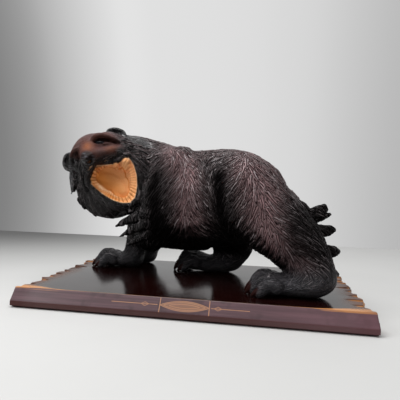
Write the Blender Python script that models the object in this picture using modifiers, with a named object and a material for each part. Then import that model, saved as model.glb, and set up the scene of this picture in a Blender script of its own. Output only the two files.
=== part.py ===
"""Carved wooden bear that roars over its shoulder, standing on a low board.

Metres, +Z up. The origin is the centre of the board's underside. X runs along the
board's front edge, and Y runs from the front edge to the back. The bear walks
towards -X and a little towards +Y, and turns its head back to the front.
"""

import math

import bmesh
import bpy
import numpy as np
from mathutils import Matrix, Vector

# The board
BOARD_WIDTH = 0.600         # along the front edge, corner to corner
TOP_DEPTH = 0.352           # flat top, front to back
BOARD_THICK = 0.032         # floor to flat top
BAND_RUN = 0.0145           # how far the sloped band stands out past the top's edge
BAND_DROP = 0.021           # height of the sloped band
FOOT_INSET = 0.005          # the underside steps in by this much
FOOT_HEIGHT = 0.0025        # height of that step
LOBE_REACH = 0.012          # how far a carved lobe stands out past the board's corners
LOBE_SINK = 0.008           # how far the edge goes in between two lobes
LOBES = 4                   # lobes carved along each end of the board
GOUGE_LENGTH = 0.050        # length of the cut between two lobes
GOUGE_DEPTH = 0.012         # depth of that cut where it leaves the board
GOUGE_WIDTH = 0.022         # width of that cut where it leaves the board
GOUGE_START = 0.020         # how far outside the board's corners the cut begins

# The bear
BEAR_HEIGHT = 0.315         # from the board's top to the top of the higher ear
REST_GAP = 0.0003           # between the soles and the board
COARSE_GRAIN = 0.0045       # the roughing-out, before the mouth and fur are cut
FINE_GRAIN = 0.0030         # the finished form
BEAR_FACES = 8000           # triangles of the finished form

# The bear is drawn in shares: its height is 31.5 of them, so a share is a centimetre
SHARE = BEAR_HEIGHT / 31.5

# Head: where its centre is, and which way it faces, in shares on the board's top
HEAD_CENTRE = Vector((-23.0, -0.2, 23.8))
HEAD_FORWARD = Vector((0.230, -0.970, 0.075)).normalized()
HEAD_LEFT = Vector((0.814, 0.234, 0.531)).normalized()
HEAD_UP = HEAD_FORWARD.cross(HEAD_LEFT).normalized()
HEAD_LEFT = HEAD_UP.cross(HEAD_FORWARD).normalized()

# Tufts carved in low relief, in metres
TUFT_LENGTH = 0.046
TUFT_WIDTH = 0.024
TUFT_RISE = 0.0030
TUFT_PITCH = 0.021
FACE_REACH = 9.0            # no tufts on the face, this near the head's centre, in shares
PAW_HEIGHT = 4.0            # no tufts on the paws, up to here, in shares

# The two crests of fur, where it parts: place along the walk, height, lean, breadth
SHOULDER_CREST = (3.5, 24.0, 0.17, 4.5)
HAUNCH_CREST = (-14.6, 22.0, 0.51, 4.5)

WALK_YAW = math.radians(155)    # the way the trunk points, from +X
WALK = Vector((math.cos(WALK_YAW), math.sin(WALK_YAW), 0.0))


def clear_scene():
    """Removes what the scene holds."""
    for item in list(bpy.data.objects):
        bpy.data.objects.remove(item, do_unlink=True)


def new_collection(name, hidden=False):
    """Adds a collection to the scene."""
    group = bpy.data.collections.new(name)
    group.hide_render = hidden
    bpy.context.scene.collection.children.link(group)
    return group


def new_object(name, mesh, group):
    """Adds an object that holds the mesh to a collection."""
    item = bpy.data.objects.new(name, mesh)
    group.objects.link(item)
    return item


def wood(name, colour, roughness):
    """One plain wood finish."""
    material = bpy.data.materials.new(name)
    material.use_nodes = True
    shader = material.node_tree.nodes["Principled BSDF"]
    shader.inputs["Base Color"].default_value = (*colour, 1.0)
    shader.inputs["Roughness"].default_value = roughness
    shader.inputs["Metallic"].default_value = 0.0
    return material


# Forms made of hulls

def head_point(forward, left, up):
    """A place on the head, in shares, from the head's own directions."""
    return HEAD_CENTRE + HEAD_FORWARD * forward + HEAD_LEFT * left + HEAD_UP * up


def head_turn():
    """The head's own directions as a rotation."""
    return Matrix((HEAD_FORWARD, HEAD_LEFT, HEAD_UP)).transposed()


def egg_points(centre, radii, turn, rings=6, sides=10):
    """Points over an ellipsoid."""
    points = []
    for ring in range(rings + 1):
        tilt = math.pi * ring / rings
        count = 1 if ring in (0, rings) else sides
        for side in range(count):
            around = 2 * math.pi * (side + 0.5 * (ring % 2)) / sides
            local = Vector((radii[0] * math.sin(tilt) * math.cos(around),
                            radii[1] * math.sin(tilt) * math.sin(around),
                            radii[2] * math.cos(tilt)))
            points.append(Vector(centre) + turn @ local)
    return points


def add_hull(form, points):
    """Adds the convex hull of some points to the form, as a closed body."""
    verts = [form.verts.new(point * SHARE) for point in points]
    result = bmesh.ops.convex_hull(form, input=verts)
    loose = [v for v in result["geom_interior"] if isinstance(v, bmesh.types.BMVert)]
    loose += [v for v in result["geom_unused"] if isinstance(v, bmesh.types.BMVert)]
    bmesh.ops.delete(form, geom=list(set(loose)), context="VERTS")


def smooth_path(rows, steps):
    """Rows of numbers, with steps - 1 more between each two, on one smooth curve."""
    rows = np.array(rows, float)
    padded = np.vstack([2 * rows[0] - rows[1], rows, 2 * rows[-1] - rows[-2]])
    path = []
    for start in range(len(rows) - 1):
        a, b, c, d = padded[start:start + 4]
        for step in range(steps):
            t = step / steps
            path.append(0.5 * (2 * b + (c - a) * t + (2 * a - 5 * b + 4 * c - d) * t ** 2
                               + (3 * b - a - 3 * c + d) * t ** 3))
    path.append(rows[-1])
    return path


def add_limb(form, rows, steps=2, turn=None):
    """A limb: ellipsoids along a curve, hulled two by two.

    A row is x, y, z and one radius, or x, y, z and three radii, in shares.
    """
    turn = turn or Matrix.Identity(3)
    rows = [row if len(row) == 6 else (*row[:3], row[3], row[3], row[3]) for row in rows]
    path = smooth_path(rows, steps)
    eggs = [egg_points(row[:3], row[3:], turn) for row in path]
    for first, second in zip(eggs, eggs[1:]):
        add_hull(form, first + second)


def add_head_limb(form, rows, steps=2):
    """A limb in the head's own directions."""
    placed = [(*head_point(*row[:3]), *row[3:]) for row in rows]
    add_limb(form, placed, steps, head_turn())


def add_lock(form, root, tip, width, thick, rise=0.0, side=(0, 0, 1)):
    """A pointed lock of fur: broad and flat at the root, sharp at the tip."""
    root, tip = Vector(root), Vector(tip)
    along = (tip - root).normalized()
    across = along.cross(Vector(side)).normalized()
    normal = across.cross(along)
    turn = Matrix((along, across, normal)).transposed()
    middle = root.lerp(tip, 0.45) + normal * rise
    near_tip = root.lerp(tip, 0.8) + normal * rise * 0.6
    rows = ((root, 1.0), (middle, 0.72), (near_tip, 0.36), (tip, 0.10))
    eggs = [egg_points(place, (width * share * 0.6, width * share, thick * share), turn, 4, 8)
            for place, share in rows]
    for first, second in zip(eggs, eggs[1:]):
        add_hull(form, first + second)


# The bear's masses

def add_trunk(form):
    """Rump, barrel, shoulders and neck."""
    turn = Matrix.Rotation(WALK_YAW, 3, "Z")
    add_limb(form, (
        (12.4, -4.1, 16.2, 4.4, 6.6, 7.2),
        (8.2, -2.2, 16.9, 5.0, 7.4, 9.2),
        (3.0, 0.5, 16.5, 5.0, 7.0, 10.1),
        (-3.0, 3.5, 16.0, 5.0, 7.2, 10.6),
        (-7.5, 5.7, 16.6, 5.0, 7.4, 11.3),
        (-11.6, 8.2, 18.4, 5.0, 6.4, 10.9),
        (-14.9, 8.0, 21.4, 4.8, 5.6, 8.7),
        (-18.0, 5.4, 23.4, 4.8, 5.2, 7.0),
        (-21.5, 2.0, 24.4, 4.8, 5.8, 6.2),
    ), 2, turn)
    # Chest, under the neck
    add_limb(form, ((-10.0, 7.8, 13.0, 5.8), (-14.2, 7.6, 15.5, 4.8),
                    (-16.4, 6.8, 18.5, 3.8)))
    # Fur that hangs under the belly and in front of the haunch
    add_limb(form, ((-9.4, 4.6, 8.4, 3.2), (-5.0, 4.4, 7.6, 2.6), (0.0, 3.4, 7.6, 2.4)))


def add_near_hind(form):
    """The bear's left hind leg, stretched back, with the broad haunch."""
    add_limb(form, (
        (9.6, -4.9, 17.3, 5.8, 5.3, 7.4),
        (13.0, -6.3, 13.6, 6.2, 5.4, 6.6),
        (17.2, -7.7, 9.8, 5.4, 5.2, 5.2),
        (20.4, -9.1, 5.8, 4.1, 4.7, 4.3),
        (21.2, -10.2, 3.2, 4.1, 4.3, 3.2),
    ))
    add_limb(form, ((21.0, -10.6, 2.4, 3.4, 3.8, 2.4), (17.4, -10.4, 1.8, 3.0, 3.2, 1.8),
                    (14.0, -10.3, 2.0, 2.6, 3.2, 1.9)))
    add_toes(form, (13.6, -10.3), (-1.0, 0.10), 6.0, 3.1, 1.25)


def add_far_hind(form):
    """The bear's right hind leg, stepping forward under the belly."""
    add_limb(form, (
        (8.0, 2.5, 15.5, 5.3, 5.2, 7.0),
        (6.0, 5.2, 9.8, 4.9, 4.2, 5.0),
        (6.2, 6.6, 5.8, 4.4, 3.6, 3.0),
        (5.2, 7.4, 3.0, 3.4, 3.2, 2.8),
    ))
    add_limb(form, ((4.6, 7.7, 2.3, 3.0, 3.1, 2.3), (1.0, 7.5, 1.8, 2.6, 2.9, 1.8),
                    (-2.6, 7.4, 2.4, 2.4, 2.9, 2.2)))
    add_toes(form, (-3.2, 7.4), (-1.0, 0.05), 5.4, 3.6, 1.2)


def add_near_fore(form):
    """The bear's left foreleg, stepping forward, with the shoulder's mass over it."""
    add_limb(form, ((-5.4, 2.0, 21.6, 5.4, 4.4, 5.8), (-8.0, 0.7, 17.0, 5.0, 3.8, 5.4),
                    (-10.4, 0.6, 12.2, 4.6, 3.8, 4.6), (-11.1, 1.8, 7.8, 3.1, 3.2, 3.2)))
    add_limb(form, ((-12.5, 4.6, 12.5, 4.2), (-15.8, 6.4, 10.0, 3.4),
                    (-17.0, 7.2, 6.0, 2.7), (-17.2, 7.4, 3.0, 2.7)))
    add_limb(form, ((-16.8, 7.3, 2.2, 2.3, 2.9, 2.2), (-20.0, 7.3, 1.8, 2.4, 3.0, 1.8),
                    (-22.8, 7.3, 1.9, 2.2, 3.1, 1.8)))
    add_toes(form, (-22.7, 7.3), (-1.0, -0.06), 5.8, 2.9, 1.15)


def add_far_fore(form):
    """The bear's right foreleg, set back and in shadow."""
    add_limb(form, ((-9.0, 10.0, 15.0, 4.6), (-12.2, 12.4, 9.0, 3.4),
                    (-15.0, 13.6, 4.5, 2.6), (-15.4, 13.7, 2.4, 2.4)))
    add_limb(form, ((-15.2, 13.7, 2.1, 2.1, 2.7, 2.1), (-17.6, 13.9, 1.7, 2.0, 2.7, 1.7),
                    (-19.0, 14.0, 1.7, 1.8, 2.7, 1.6)))
    add_toes(form, (-19.2, 14.0), (-1.0, 0.15), 5.0, 2.0, 1.05)


def add_toes(form, root, ahead, spread, knuckle, size):
    """Five toes with hooked claws, side by side from one place on the foot."""
    toes = 5
    ahead = Vector((*ahead, 0)).normalized()
    across = Vector((-ahead.y, ahead.x, 0))
    for toe in range(toes):
        place = toe / (toes - 1) - 0.5
        back = 1.6 * (2 * place) ** 2
        base = Vector((*root, 0)) + across * (place * spread) - ahead * back
        fan = (ahead + across * place * 0.35).normalized()
        high = knuckle * (1 - 0.25 * (2 * place) ** 2)
        rows = ((*(base + Vector((0, 0, high * 0.85))), size),
                (*(base + fan * 1.1 + Vector((0, 0, high))), size * 0.95),
                (*(base + fan * 2.3 + Vector((0, 0, high * 0.55))), size * 0.80))
        add_limb(form, rows)
        claw = ((*(base + fan * 2.2 + Vector((0, 0, high * 0.72))), 0.55),
                (*(base + fan * 3.4 + Vector((0, 0, high * 0.52))), 0.42),
                (*(base + fan * 4.2 + Vector((0, 0, 0.35))), 0.22))
        add_limb(form, claw)


def add_skull(form):
    """Skull, snout, cheeks, ruff and lower jaw, before the mouth is cut."""
    add_head_limb(form, ((-3.8, 0.2, 0.5, 4.4, 5.2, 5.2), (-0.8, 0, 1.0, 4.8, 5.5, 5.4),
                         (1.8, -0.1, 0.9, 3.8, 5.0, 4.7)))
    # Bridge of the snout, then the upper jaw
    add_head_limb(form, ((2.8, -0.2, 2.2, 3.0, 3.4, 2.7), (5.2, -0.4, 1.3, 2.1, 2.2, 1.8),
                         (7.1, -0.6, 0.4, 1.5, 1.8, 1.4)))
    add_head_limb(form, ((1.2, 0.9, -0.8, 3.4, 5.6, 2.8), (4.0, 0.9, -0.9, 2.5, 4.5, 2.1),
                         (6.1, 0.0, -0.6, 1.8, 2.9, 1.7), (7.2, -0.5, -0.3, 1.4, 2.2, 1.5)))
    # Ruff of fur around the jaw
    add_head_limb(form, ((-3.0, 0.0, -2.4, 4.0, 7.6, 5.0), (-2.2, 0.0, -6.2, 4.2, 8.0, 5.4),
                         (-1.6, 0.2, -8.6, 3.8, 6.6, 4.4)))
    # Fur of the cheek that lies against the neck
    add_head_limb(form, ((-2.8, 6.6, -1.4, 3.0, 3.4, 3.6), (-2.2, 7.2, -5.4, 3.2, 3.4, 4.4),
                         (-1.6, 5.8, -9.2, 3.0, 3.4, 3.4)))
    # Lower jaw
    add_head_limb(form, ((1.0, 1.2, -3.8, 3.6, 6.0, 3.8), (1.6, 1.3, -7.2, 3.4, 5.4, 4.0),
                         (2.2, 1.1, -9.8, 2.8, 3.6, 3.0)))


def mouth_rim():
    """The rim of the open mouth, all the way round: forward, left, up, in shares."""
    return ((7.2, -0.5, -1.9), (6.6, 0.4, -2.2), (6.0, 1.3, -2.5), (5.4, 2.2, -2.7),
            (4.9, 2.9, -2.7), (4.4, 3.7, -2.6), (3.9, 4.4, -2.5), (3.3, 5.2, -2.6),
            (2.8, 5.9, -3.0), (2.6, 6.1, -3.8), (2.6, 6.1, -5.1), (3.0, 5.6, -7.2),
            (3.6, 4.6, -9.2), (4.3, 2.9, -11.4), (4.6, 1.6, -11.8), (4.8, 0.2, -11.0),
            (4.8, -1.1, -9.6), (4.4, -2.4, -7.2), (3.6, -3.4, -4.3), (3.6, -3.2, -3.0),
            (4.6, -2.4, -2.0), (5.8, -1.5, -1.8))


def mouth_floor():
    """The edge of the mouth's floor, all the way round: forward, left, up, in shares."""
    return ((3.2, -0.6, -2.6), (3.3, 0.9, -2.6), (3.0, 2.5, -3.0), (2.2, 3.9, -3.9),
            (2.0, 3.9, -4.9), (2.1, 3.3, -6.7), (2.6, 2.4, -8.8), (3.1, 0.8, -9.6),
            (2.9, -0.4, -6.8), (2.9, -1.6, -3.7))


def add_mouth_cutter(form):
    """The hollow between the jaws, the open space in front of it, and the eyes' sockets."""
    rim = [head_point(*place) for place in mouth_rim()]
    deep = [head_point(*place) for place in mouth_floor()]
    ahead = [place + HEAD_FORWARD * 6.0 for place in rim]
    add_hull(form, deep + rim)
    add_hull(form, rim + ahead)
    add_head_limb(form, ((5.5, 2.0, 2.4, 0.9), (5.0, 2.9, 1.9, 0.9), (4.5, 3.8, 1.6, 0.5)))
    add_head_limb(form, ((5.2, -2.7, 2.2, 0.8), (4.7, -3.6, 1.4, 0.9)))


def add_mouth_parts(form):
    """Tongue, the row of teeth around the lower jaw and the long teeth."""
    add_head_limb(form, ((2.3, 1.0, -4.3, 0.9, 2.2, 1.2), (2.3, 1.0, -6.4, 0.8, 1.9, 1.4),
                         (2.7, 0.9, -8.3, 0.6, 1.1, 1.0)))
    add_head_limb(form, ((2.1, 5.0, -4.6, 0.6), (2.3, 4.5, -6.6, 0.6), (2.9, 3.6, -8.8, 0.6),
                         (3.4, 2.0, -10.5, 0.6), (3.5, 1.0, -10.5, 0.6),
                         (3.4, -0.8, -8.4, 0.6), (2.8, -2.3, -5.2, 0.6)), 1)
    # Long teeth: upper pair, then lower pair
    add_head_limb(form, ((4.0, 2.9, -2.6, 0.55), (3.7, 2.8, -3.4, 0.4), (3.5, 2.7, -4.1, 0.12)))
    add_head_limb(form, ((4.2, -1.4, -2.2, 0.55), (3.9, -1.3, -2.9, 0.4),
                         (3.7, -1.2, -3.5, 0.12)))
    add_head_limb(form, ((3.2, 2.6, -10.2, 0.5), (3.7, 2.4, -9.7, 0.35), (4.1, 2.3, -9.2, 0.12)))
    add_head_limb(form, ((3.4, -0.3, -9.4, 0.5), (3.9, -0.2, -8.9, 0.35),
                         (4.3, -0.1, -8.4, 0.12)))


def add_ears(form):
    """Two ears: a thin back with a raised rim round it."""
    rims = (((4.3, 4.7), (5.1, 5.2), (6.2, 4.9), (7.1, 4.2), (7.7, 3.2), (7.6, 2.1), (7.2, 1.4)),
            ((-4.5, 4.8), (-5.3, 4.9), (-6.0, 4.5), (-6.7, 3.6), (-6.9, 2.7), (-6.7, 2.0),
             (-6.2, 1.5)))
    for rim in rims:
        back = []
        for left, up in rim:
            back += egg_points(head_point(-2.4, left * 0.94, up * 0.94), (0.6, 0.6, 0.6),
                               head_turn(), 4, 8)
        add_hull(form, back)
        add_head_limb(form, [(-1.7, left, up, 0.5) for left, up in rim])


def add_eyes(form):
    """Brows, eyes and cheekbones."""
    # Bear's left: brow, cheekbone, eye
    add_head_limb(form, ((5.2, 1.2, 3.0, 0.5), (5.0, 2.4, 3.5, 0.65), (4.3, 3.7, 3.1, 0.65),
                         (3.2, 4.9, 2.1, 0.6), (1.6, 5.8, 1.2, 0.5)))
    add_head_limb(form, ((4.7, 3.1, 1.3, 0.35), (3.9, 3.9, 1.0, 0.45), (2.6, 4.8, 0.2, 0.5),
                         (1.0, 5.6, -0.7, 0.45)))
    add_head_limb(form, ((4.6, 2.0, 2.2, 0.45), (4.4, 2.6, 1.9, 0.55), (4.2, 3.2, 1.6, 0.4)), 1)
    # Bear's right: brow, cheekbone, eye
    add_head_limb(form, ((5.2, -1.8, 2.9, 0.5), (4.7, -2.9, 3.0, 0.65), (3.8, -4.1, 2.3, 0.6),
                         (2.6, -4.8, 1.2, 0.5)))
    add_head_limb(form, ((4.8, -2.8, 0.7, 0.4), (3.7, -3.7, -0.4, 0.5), (2.1, -4.6, -2.0, 0.6),
                         (0.8, -5.2, -4.4, 0.6)))
    add_head_limb(form, ((4.3, -3.0, 2.0, 0.5), (4.0, -3.6, 1.4, 0.45)), 1)


def add_lips(form):
    """Nose, upper lips and the rim of the lower lip."""
    add_head_limb(form, ((7.7, -0.7, 0.2, 1.0, 1.5, 1.0), (8.4, -0.7, -0.1, 0.7, 1.3, 0.9)), 1)
    rim = mouth_rim()
    for upper in (rim[:9], rim[18:]):
        add_head_limb(form, [(f - 0.3, l * 1.03, u + 0.45, 0.5) for f, l, u in upper], 1)
    centre = (1.4, -6.0)
    lower = [(f - 0.4, centre[0] + (l - centre[0]) * 1.07, centre[1] + (u - centre[1]) * 1.07,
              0.55) for f, l, u in rim[8:20]]
    add_head_limb(form, lower, 1)


def add_mane_locks(form):
    """Locks of the mane that hang free in front of the near shoulder."""
    locks = (
        ((-13.6, -1.5, 13.8), (-17.7, -1.0, 12.1), 1.2),
        ((-12.0, -3.0, 12.0), (-17.6, -1.2, 10.0), 1.3),
        ((-9.8, -3.6, 10.5), (-16.6, -1.4, 7.9), 1.3),
        ((-10.1, -3.4, 8.6), (-15.3, -1.4, 5.9), 1.1),
    )
    for root, tip, width in locks:
        add_lock(form, root, tip, width, 0.9, rise=0.4, side=(0.2, -1, 0.3))


def add_fin(form, places, y, thick):
    """A broad lock with a blunt end: the hull of flat eggs at x, z places."""
    points = []
    for x, z, radius in places:
        broad = thick * (0.4 + 0.6 * radius / places[0][2])
        points += egg_points((x, y, z), (radius, broad, radius), Matrix.Identity(3), 4, 8)
    add_hull(form, points)


def add_haunch_locks(form):
    """Broad locks that stand out behind the near haunch, and a plainer row behind them."""
    # The haunch's edge, between the locks
    edge = ((-4.4, 17.6, 16.2, 1.1), (-4.6, 19.6, 14.6, 1.5), (-5.4, 20.9, 11.6, 1.7),
            (-6.4, 21.8, 8.6, 1.8), (-7.6, 22.6, 5.6, 1.9), (-8.8, 22.8, 2.8, 1.9))
    for (y, x, z, radius), (next_y, next_x, next_z, next_radius) in zip(edge, edge[1:]):
        points = egg_points((x, y, z), (radius, 1.5, radius), Matrix.Identity(3))
        points += egg_points((next_x, next_y, next_z), (next_radius, 1.5, next_radius),
                             Matrix.Identity(3))
        add_hull(form, points)
    fins = (
        (-4.3, ((18.2, 14.9, 1.2), (19.7, 15.6, 0.5), (20.4, 14.9, 0.4))),
        (-5.2, ((20.4, 13.4, 1.3), (22.5, 15.1, 0.4), (23.6, 15.7, 0.3), (23.9, 15.0, 0.3))),
        (-5.4, ((20.8, 13.2, 1.2), (23.6, 13.9, 0.5), (24.6, 14.2, 0.15))),
        (-6.3, ((21.4, 10.8, 1.4), (24.6, 11.8, 0.3), (25.1, 11.4, 0.3), (24.2, 10.7, 0.3))),
        (-7.5, ((22.4, 7.2, 1.5), (25.2, 8.2, 0.3), (25.8, 7.7, 0.35), (25.0, 7.0, 0.3))),
        (-8.6, ((23.2, 3.6, 1.3), (24.9, 4.4, 0.4), (25.6, 3.8, 0.3))),
    )
    for y, places in fins:
        add_fin(form, places, y, 2.2)
    back = ((-2.0, ((17.6, 13.6, 1.5), (20.6, 14.6, 0.5))),
            (-2.6, ((18.4, 10.2, 1.5), (21.6, 10.8, 0.5))),
            (-4.0, ((19.6, 6.8, 1.5), (22.6, 7.2, 0.5))))
    for y, places in back:
        add_fin(form, places, y, 1.8)
    # Tail
    add_limb(form, ((15.6, -3.6, 17.6, 1.8), (17.8, -2.6, 16.4, 1.5), (18.6, -2.0, 14.6, 1.0)))


def add_ruff_locks(form):
    """Ragged edge of the ruff, on the cheeks and under the chin."""
    locks = (
        ((-2.2, -6.4, 0.6), (-1.8, -8.1, -0.7), 1.0),
        ((-2.0, -7.0, -1.0), (-1.8, -9.0, -3.1), 1.2),
        ((-1.8, -7.0, -5.2), (-1.6, -7.9, -7.4), 1.4),
        ((-1.6, -5.8, -8.0), (-1.4, -6.7, -10.0), 1.4),
        ((-1.6, -3.8, -10.4), (-1.6, -4.7, -11.8), 1.4),
        ((-1.6, -1.0, -11.2), (-1.8, -1.7, -12.8), 1.4),
        ((-2.6, 7.6, -0.6), (-4.0, 10.2, -2.6), 1.3),
        ((-2.4, 8.0, -3.6), (-3.6, 10.2, -6.2), 1.4),
        ((-2.2, 7.4, -6.8), (-3.0, 9.2, -9.6), 1.4),
        ((-1.8, 5.2, -10.2), (-2.4, 6.2, -12.6), 1.4),
        ((-1.6, 2.2, -11.6), (-2.0, 2.6, -13.8), 1.4),
    )
    for root, tip, width in locks:
        add_lock(form, head_point(*root), head_point(*tip), width, 1.0, side=HEAD_FORWARD)


# Making the bear

def form_object(name, build_steps, group):
    """An object that holds the bodies added by some functions."""
    form = bmesh.new()
    for step in build_steps:
        step(form)
    mesh = bpy.data.meshes.new(name)
    form.to_mesh(mesh)
    form.free()
    return new_object(name, mesh, group)


def set_mesh(item, mesh):
    """Gives an object another mesh and removes the old one."""
    old = item.data
    item.data = mesh
    bpy.data.meshes.remove(old)


def bake_modifiers(item):
    """Turns an object's modifiers into its mesh."""
    graph = bpy.context.evaluated_depsgraph_get()
    mesh = bpy.data.meshes.new_from_object(item.evaluated_get(graph))
    item.modifiers.clear()
    set_mesh(item, mesh)


def remesh(item, grain, smooth_turns):
    """Melts the bodies of an object into one skin."""
    skin = item.modifiers.new("Skin", "REMESH")
    skin.mode = "VOXEL"
    skin.voxel_size = grain
    skin.adaptivity = 0.0
    soften = item.modifiers.new("Soften", "SMOOTH")
    soften.factor = 0.5
    soften.iterations = smooth_turns
    bake_modifiers(item)


def join_into(item, other):
    """Moves the bodies of another object into this one."""
    form = bmesh.new()
    form.from_mesh(item.data)
    form.from_mesh(other.data)
    form.to_mesh(item.data)
    form.free()
    bpy.data.objects.remove(other, do_unlink=True)


def cut(item, cutter):
    """Cuts an object with a closed body."""
    slice_off = item.modifiers.new("Cut", "BOOLEAN")
    slice_off.operation = "DIFFERENCE"
    slice_off.solver = "EXACT"
    slice_off.object = cutter
    bake_modifiers(item)


def fur_flow(places, normals):
    """The way the fur lies at places on the skin, along the skin."""
    walk = np.array(WALK)
    ahead = places @ walk
    high = places[:, 2]
    push = np.zeros(len(places))
    for along, top, lean, breadth in (SHOULDER_CREST, HAUNCH_CREST):
        off = (ahead - along + lean * (top - high)) / breadth
        push += 2.6 * off * np.exp(-off ** 2)
    flow = np.outer(push - 0.25, walk)
    flow[:, 2] -= 1.0
    centre = np.array(HEAD_CENTRE)
    local = places - centre
    on_head = np.clip(1.6 - np.linalg.norm(local, axis=1) / 9.0, 0, 1)[:, None]
    outward = local - np.outer(local @ np.array(HEAD_FORWARD), np.array(HEAD_FORWARD))
    outward /= np.linalg.norm(outward, axis=1, keepdims=True) + 0.001
    flow = flow * (1 - on_head) + (outward - 0.8 * np.array(HEAD_FORWARD)) * on_head
    flow -= normals * np.sum(flow * normals, axis=1, keepdims=True)
    return flow / (np.linalg.norm(flow, axis=1, keepdims=True) + 0.001)


def add_tufts(bear):
    """Raises overlapping tufts of fur in low relief, all along the way the fur lies."""
    mesh = bear.data
    count = len(mesh.vertices)
    places = np.empty(count * 3)
    normals = np.empty(count * 3)
    mesh.vertices.foreach_get("co", places)
    mesh.vertices.foreach_get("normal", normals)
    places = places.reshape(-1, 3)
    normals = normals.reshape(-1, 3)
    flow = fur_flow(places / SHARE, normals)
    face = (places / SHARE - np.array(HEAD_CENTRE)) @ np.array(HEAD_FORWARD)
    near_head = np.linalg.norm(places / SHARE - np.array(HEAD_CENTRE), axis=1) < FACE_REACH
    furry = (places[:, 2] > PAW_HEIGHT * SHARE) & ~(near_head & (face > -1.0))
    taken = ~furry
    rise = np.zeros(count)
    for seed in np.random.default_rng(5).permutation(count):
        if taken[seed]:
            continue
        away = places - places[seed]
        taken |= np.sum(away ** 2, axis=1) < TUFT_PITCH ** 2
        along = away @ flow[seed] / TUFT_LENGTH + 0.4
        across = away @ np.cross(normals[seed], flow[seed]) / (TUFT_WIDTH / 2)
        off = np.abs(away @ normals[seed]) < TUFT_WIDTH / 2
        body = np.clip(along / 0.7, 0, 1) ** 0.8 * np.clip((1 - along) / 0.25, 0, 1)
        narrow = 1 - 0.5 * np.clip(along, 0, 1)
        lens = np.clip(1 - (across / narrow) ** 2, 0, 1)
        rise = np.maximum(rise, TUFT_RISE * body * lens * off)
    places = places + normals * (rise * furry)[:, None]
    mesh.vertices.foreach_set("co", places.ravel())
    mesh.update()


def sole_cutter(group):
    """A block whose top face is the plane of the soles."""
    mesh = bpy.data.meshes.new("under the soles")
    form = bmesh.new()
    bmesh.ops.create_cube(form, size=1.0)
    bmesh.ops.scale(form, vec=(2.0, 2.0, 0.1), verts=form.verts)
    bmesh.ops.translate(form, vec=(0, 0, REST_GAP - 0.05), verts=form.verts)
    form.to_mesh(mesh)
    form.free()
    item = new_object("under the soles", mesh, group)
    item.hide_render = True
    item.display_type = "WIRE"
    return item


def build_bear(parts, cutters):
    """The bear, carved from one block."""
    bear = form_object("bear", (add_trunk, add_near_hind, add_far_hind, add_near_fore,
                                add_far_fore, add_skull), parts)
    remesh(bear, COARSE_GRAIN, 6)
    mouth = form_object("mouth hollow", (add_mouth_cutter,), cutters)
    remesh(mouth, COARSE_GRAIN, 1)
    mouth.hide_render = True
    mouth.display_type = "WIRE"
    cut(bear, mouth)
    details = form_object("details", (add_ears, add_eyes, add_lips, add_mouth_parts,
                                      add_mane_locks, add_haunch_locks, add_ruff_locks), parts)
    join_into(bear, details)
    remesh(bear, FINE_GRAIN, 2)
    add_tufts(bear)
    cut(bear, sole_cutter(cutters))
    thin = bear.modifiers.new("Thin", "DECIMATE")
    thin.ratio = BEAR_FACES / sum(len(face.vertices) - 2 for face in bear.data.polygons)
    thin.use_collapse_triangulate = True
    bake_modifiers(bear)
    bear.data.shade_smooth()
    bear.location.z = BOARD_THICK
    bear.data.materials.clear()
    bear.data.materials.append(wood("Carved wood", (0.030, 0.015, 0.010), 0.35))
    return bear


# Making the board

def profile_object(name, outline, length, axis, group):
    """A flat outline made solid by a length, centred, along X or Z."""
    shape = bpy.data.curves.new(name, "CURVE")
    shape.dimensions = "2D"
    shape.fill_mode = "BOTH"
    shape.extrude = length / 2
    line = shape.splines.new("POLY")
    line.points.add(len(outline) - 1)
    for point, (a, b) in zip(line.points, outline):
        point.co = (a, b, 0, 1)
    line.use_cyclic_u = True
    carrier = bpy.data.objects.new(name + " outline", shape)
    group.objects.link(carrier)
    graph = bpy.context.evaluated_depsgraph_get()
    mesh = bpy.data.meshes.new_from_object(carrier.evaluated_get(graph))
    bpy.data.objects.remove(carrier, do_unlink=True)
    form = bmesh.new()
    form.from_mesh(mesh)
    bmesh.ops.remove_doubles(form, verts=form.verts, dist=0.00001)
    bmesh.ops.recalc_face_normals(form, faces=form.faces)
    if axis == "X":
        swap = Matrix(((0, 0, 1), (1, 0, 0), (0, 1, 0)))
        bmesh.ops.transform(form, matrix=swap.to_4x4(), verts=form.verts)
    form.to_mesh(mesh)
    form.free()
    return new_object(name, mesh, group)


def board_profile():
    """The board's section, seen from its end: y, z."""
    half = TOP_DEPTH / 2
    foot = half + BAND_RUN
    slope_foot = BOARD_THICK - BAND_DROP
    right = ((half, BOARD_THICK), (foot, slope_foot), (foot, FOOT_HEIGHT),
             (foot - FOOT_INSET, FOOT_HEIGHT), (foot - FOOT_INSET, 0))
    left = [(-y, z) for y, z in reversed(right)]
    return list(right) + left


def lobe_edge(side):
    """One end of the board from above: x, y, front to back, with its carved lobes."""
    half = BOARD_WIDTH / 2
    depth = TOP_DEPTH / 2 + BAND_RUN
    points = [(half, -depth * 1.2), (half, -TOP_DEPTH / 2)]
    pitch = TOP_DEPTH / LOBES
    for lobe in range(LOBES):
        front = -TOP_DEPTH / 2 + pitch * lobe
        uneven = 0.5 + 0.5 * math.sin(2.1 * lobe + side)
        reach = LOBE_REACH * (0.35 + 0.65 * uneven)
        # Share of the way along the lobe, and how far it stands out there
        for along, out in ((0.12, -LOBE_SINK), (0.20, reach), (0.50, 0.7 * reach),
                           (0.56, 0.8 * reach), (0.86, -0.25 * LOBE_SINK), (0.95, -LOBE_SINK)):
            points.append((half + out, front + pitch * along))
    points += [(half, TOP_DEPTH / 2), (half, depth * 1.2)]
    return [(side * x, y) for x, y in points]


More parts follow.
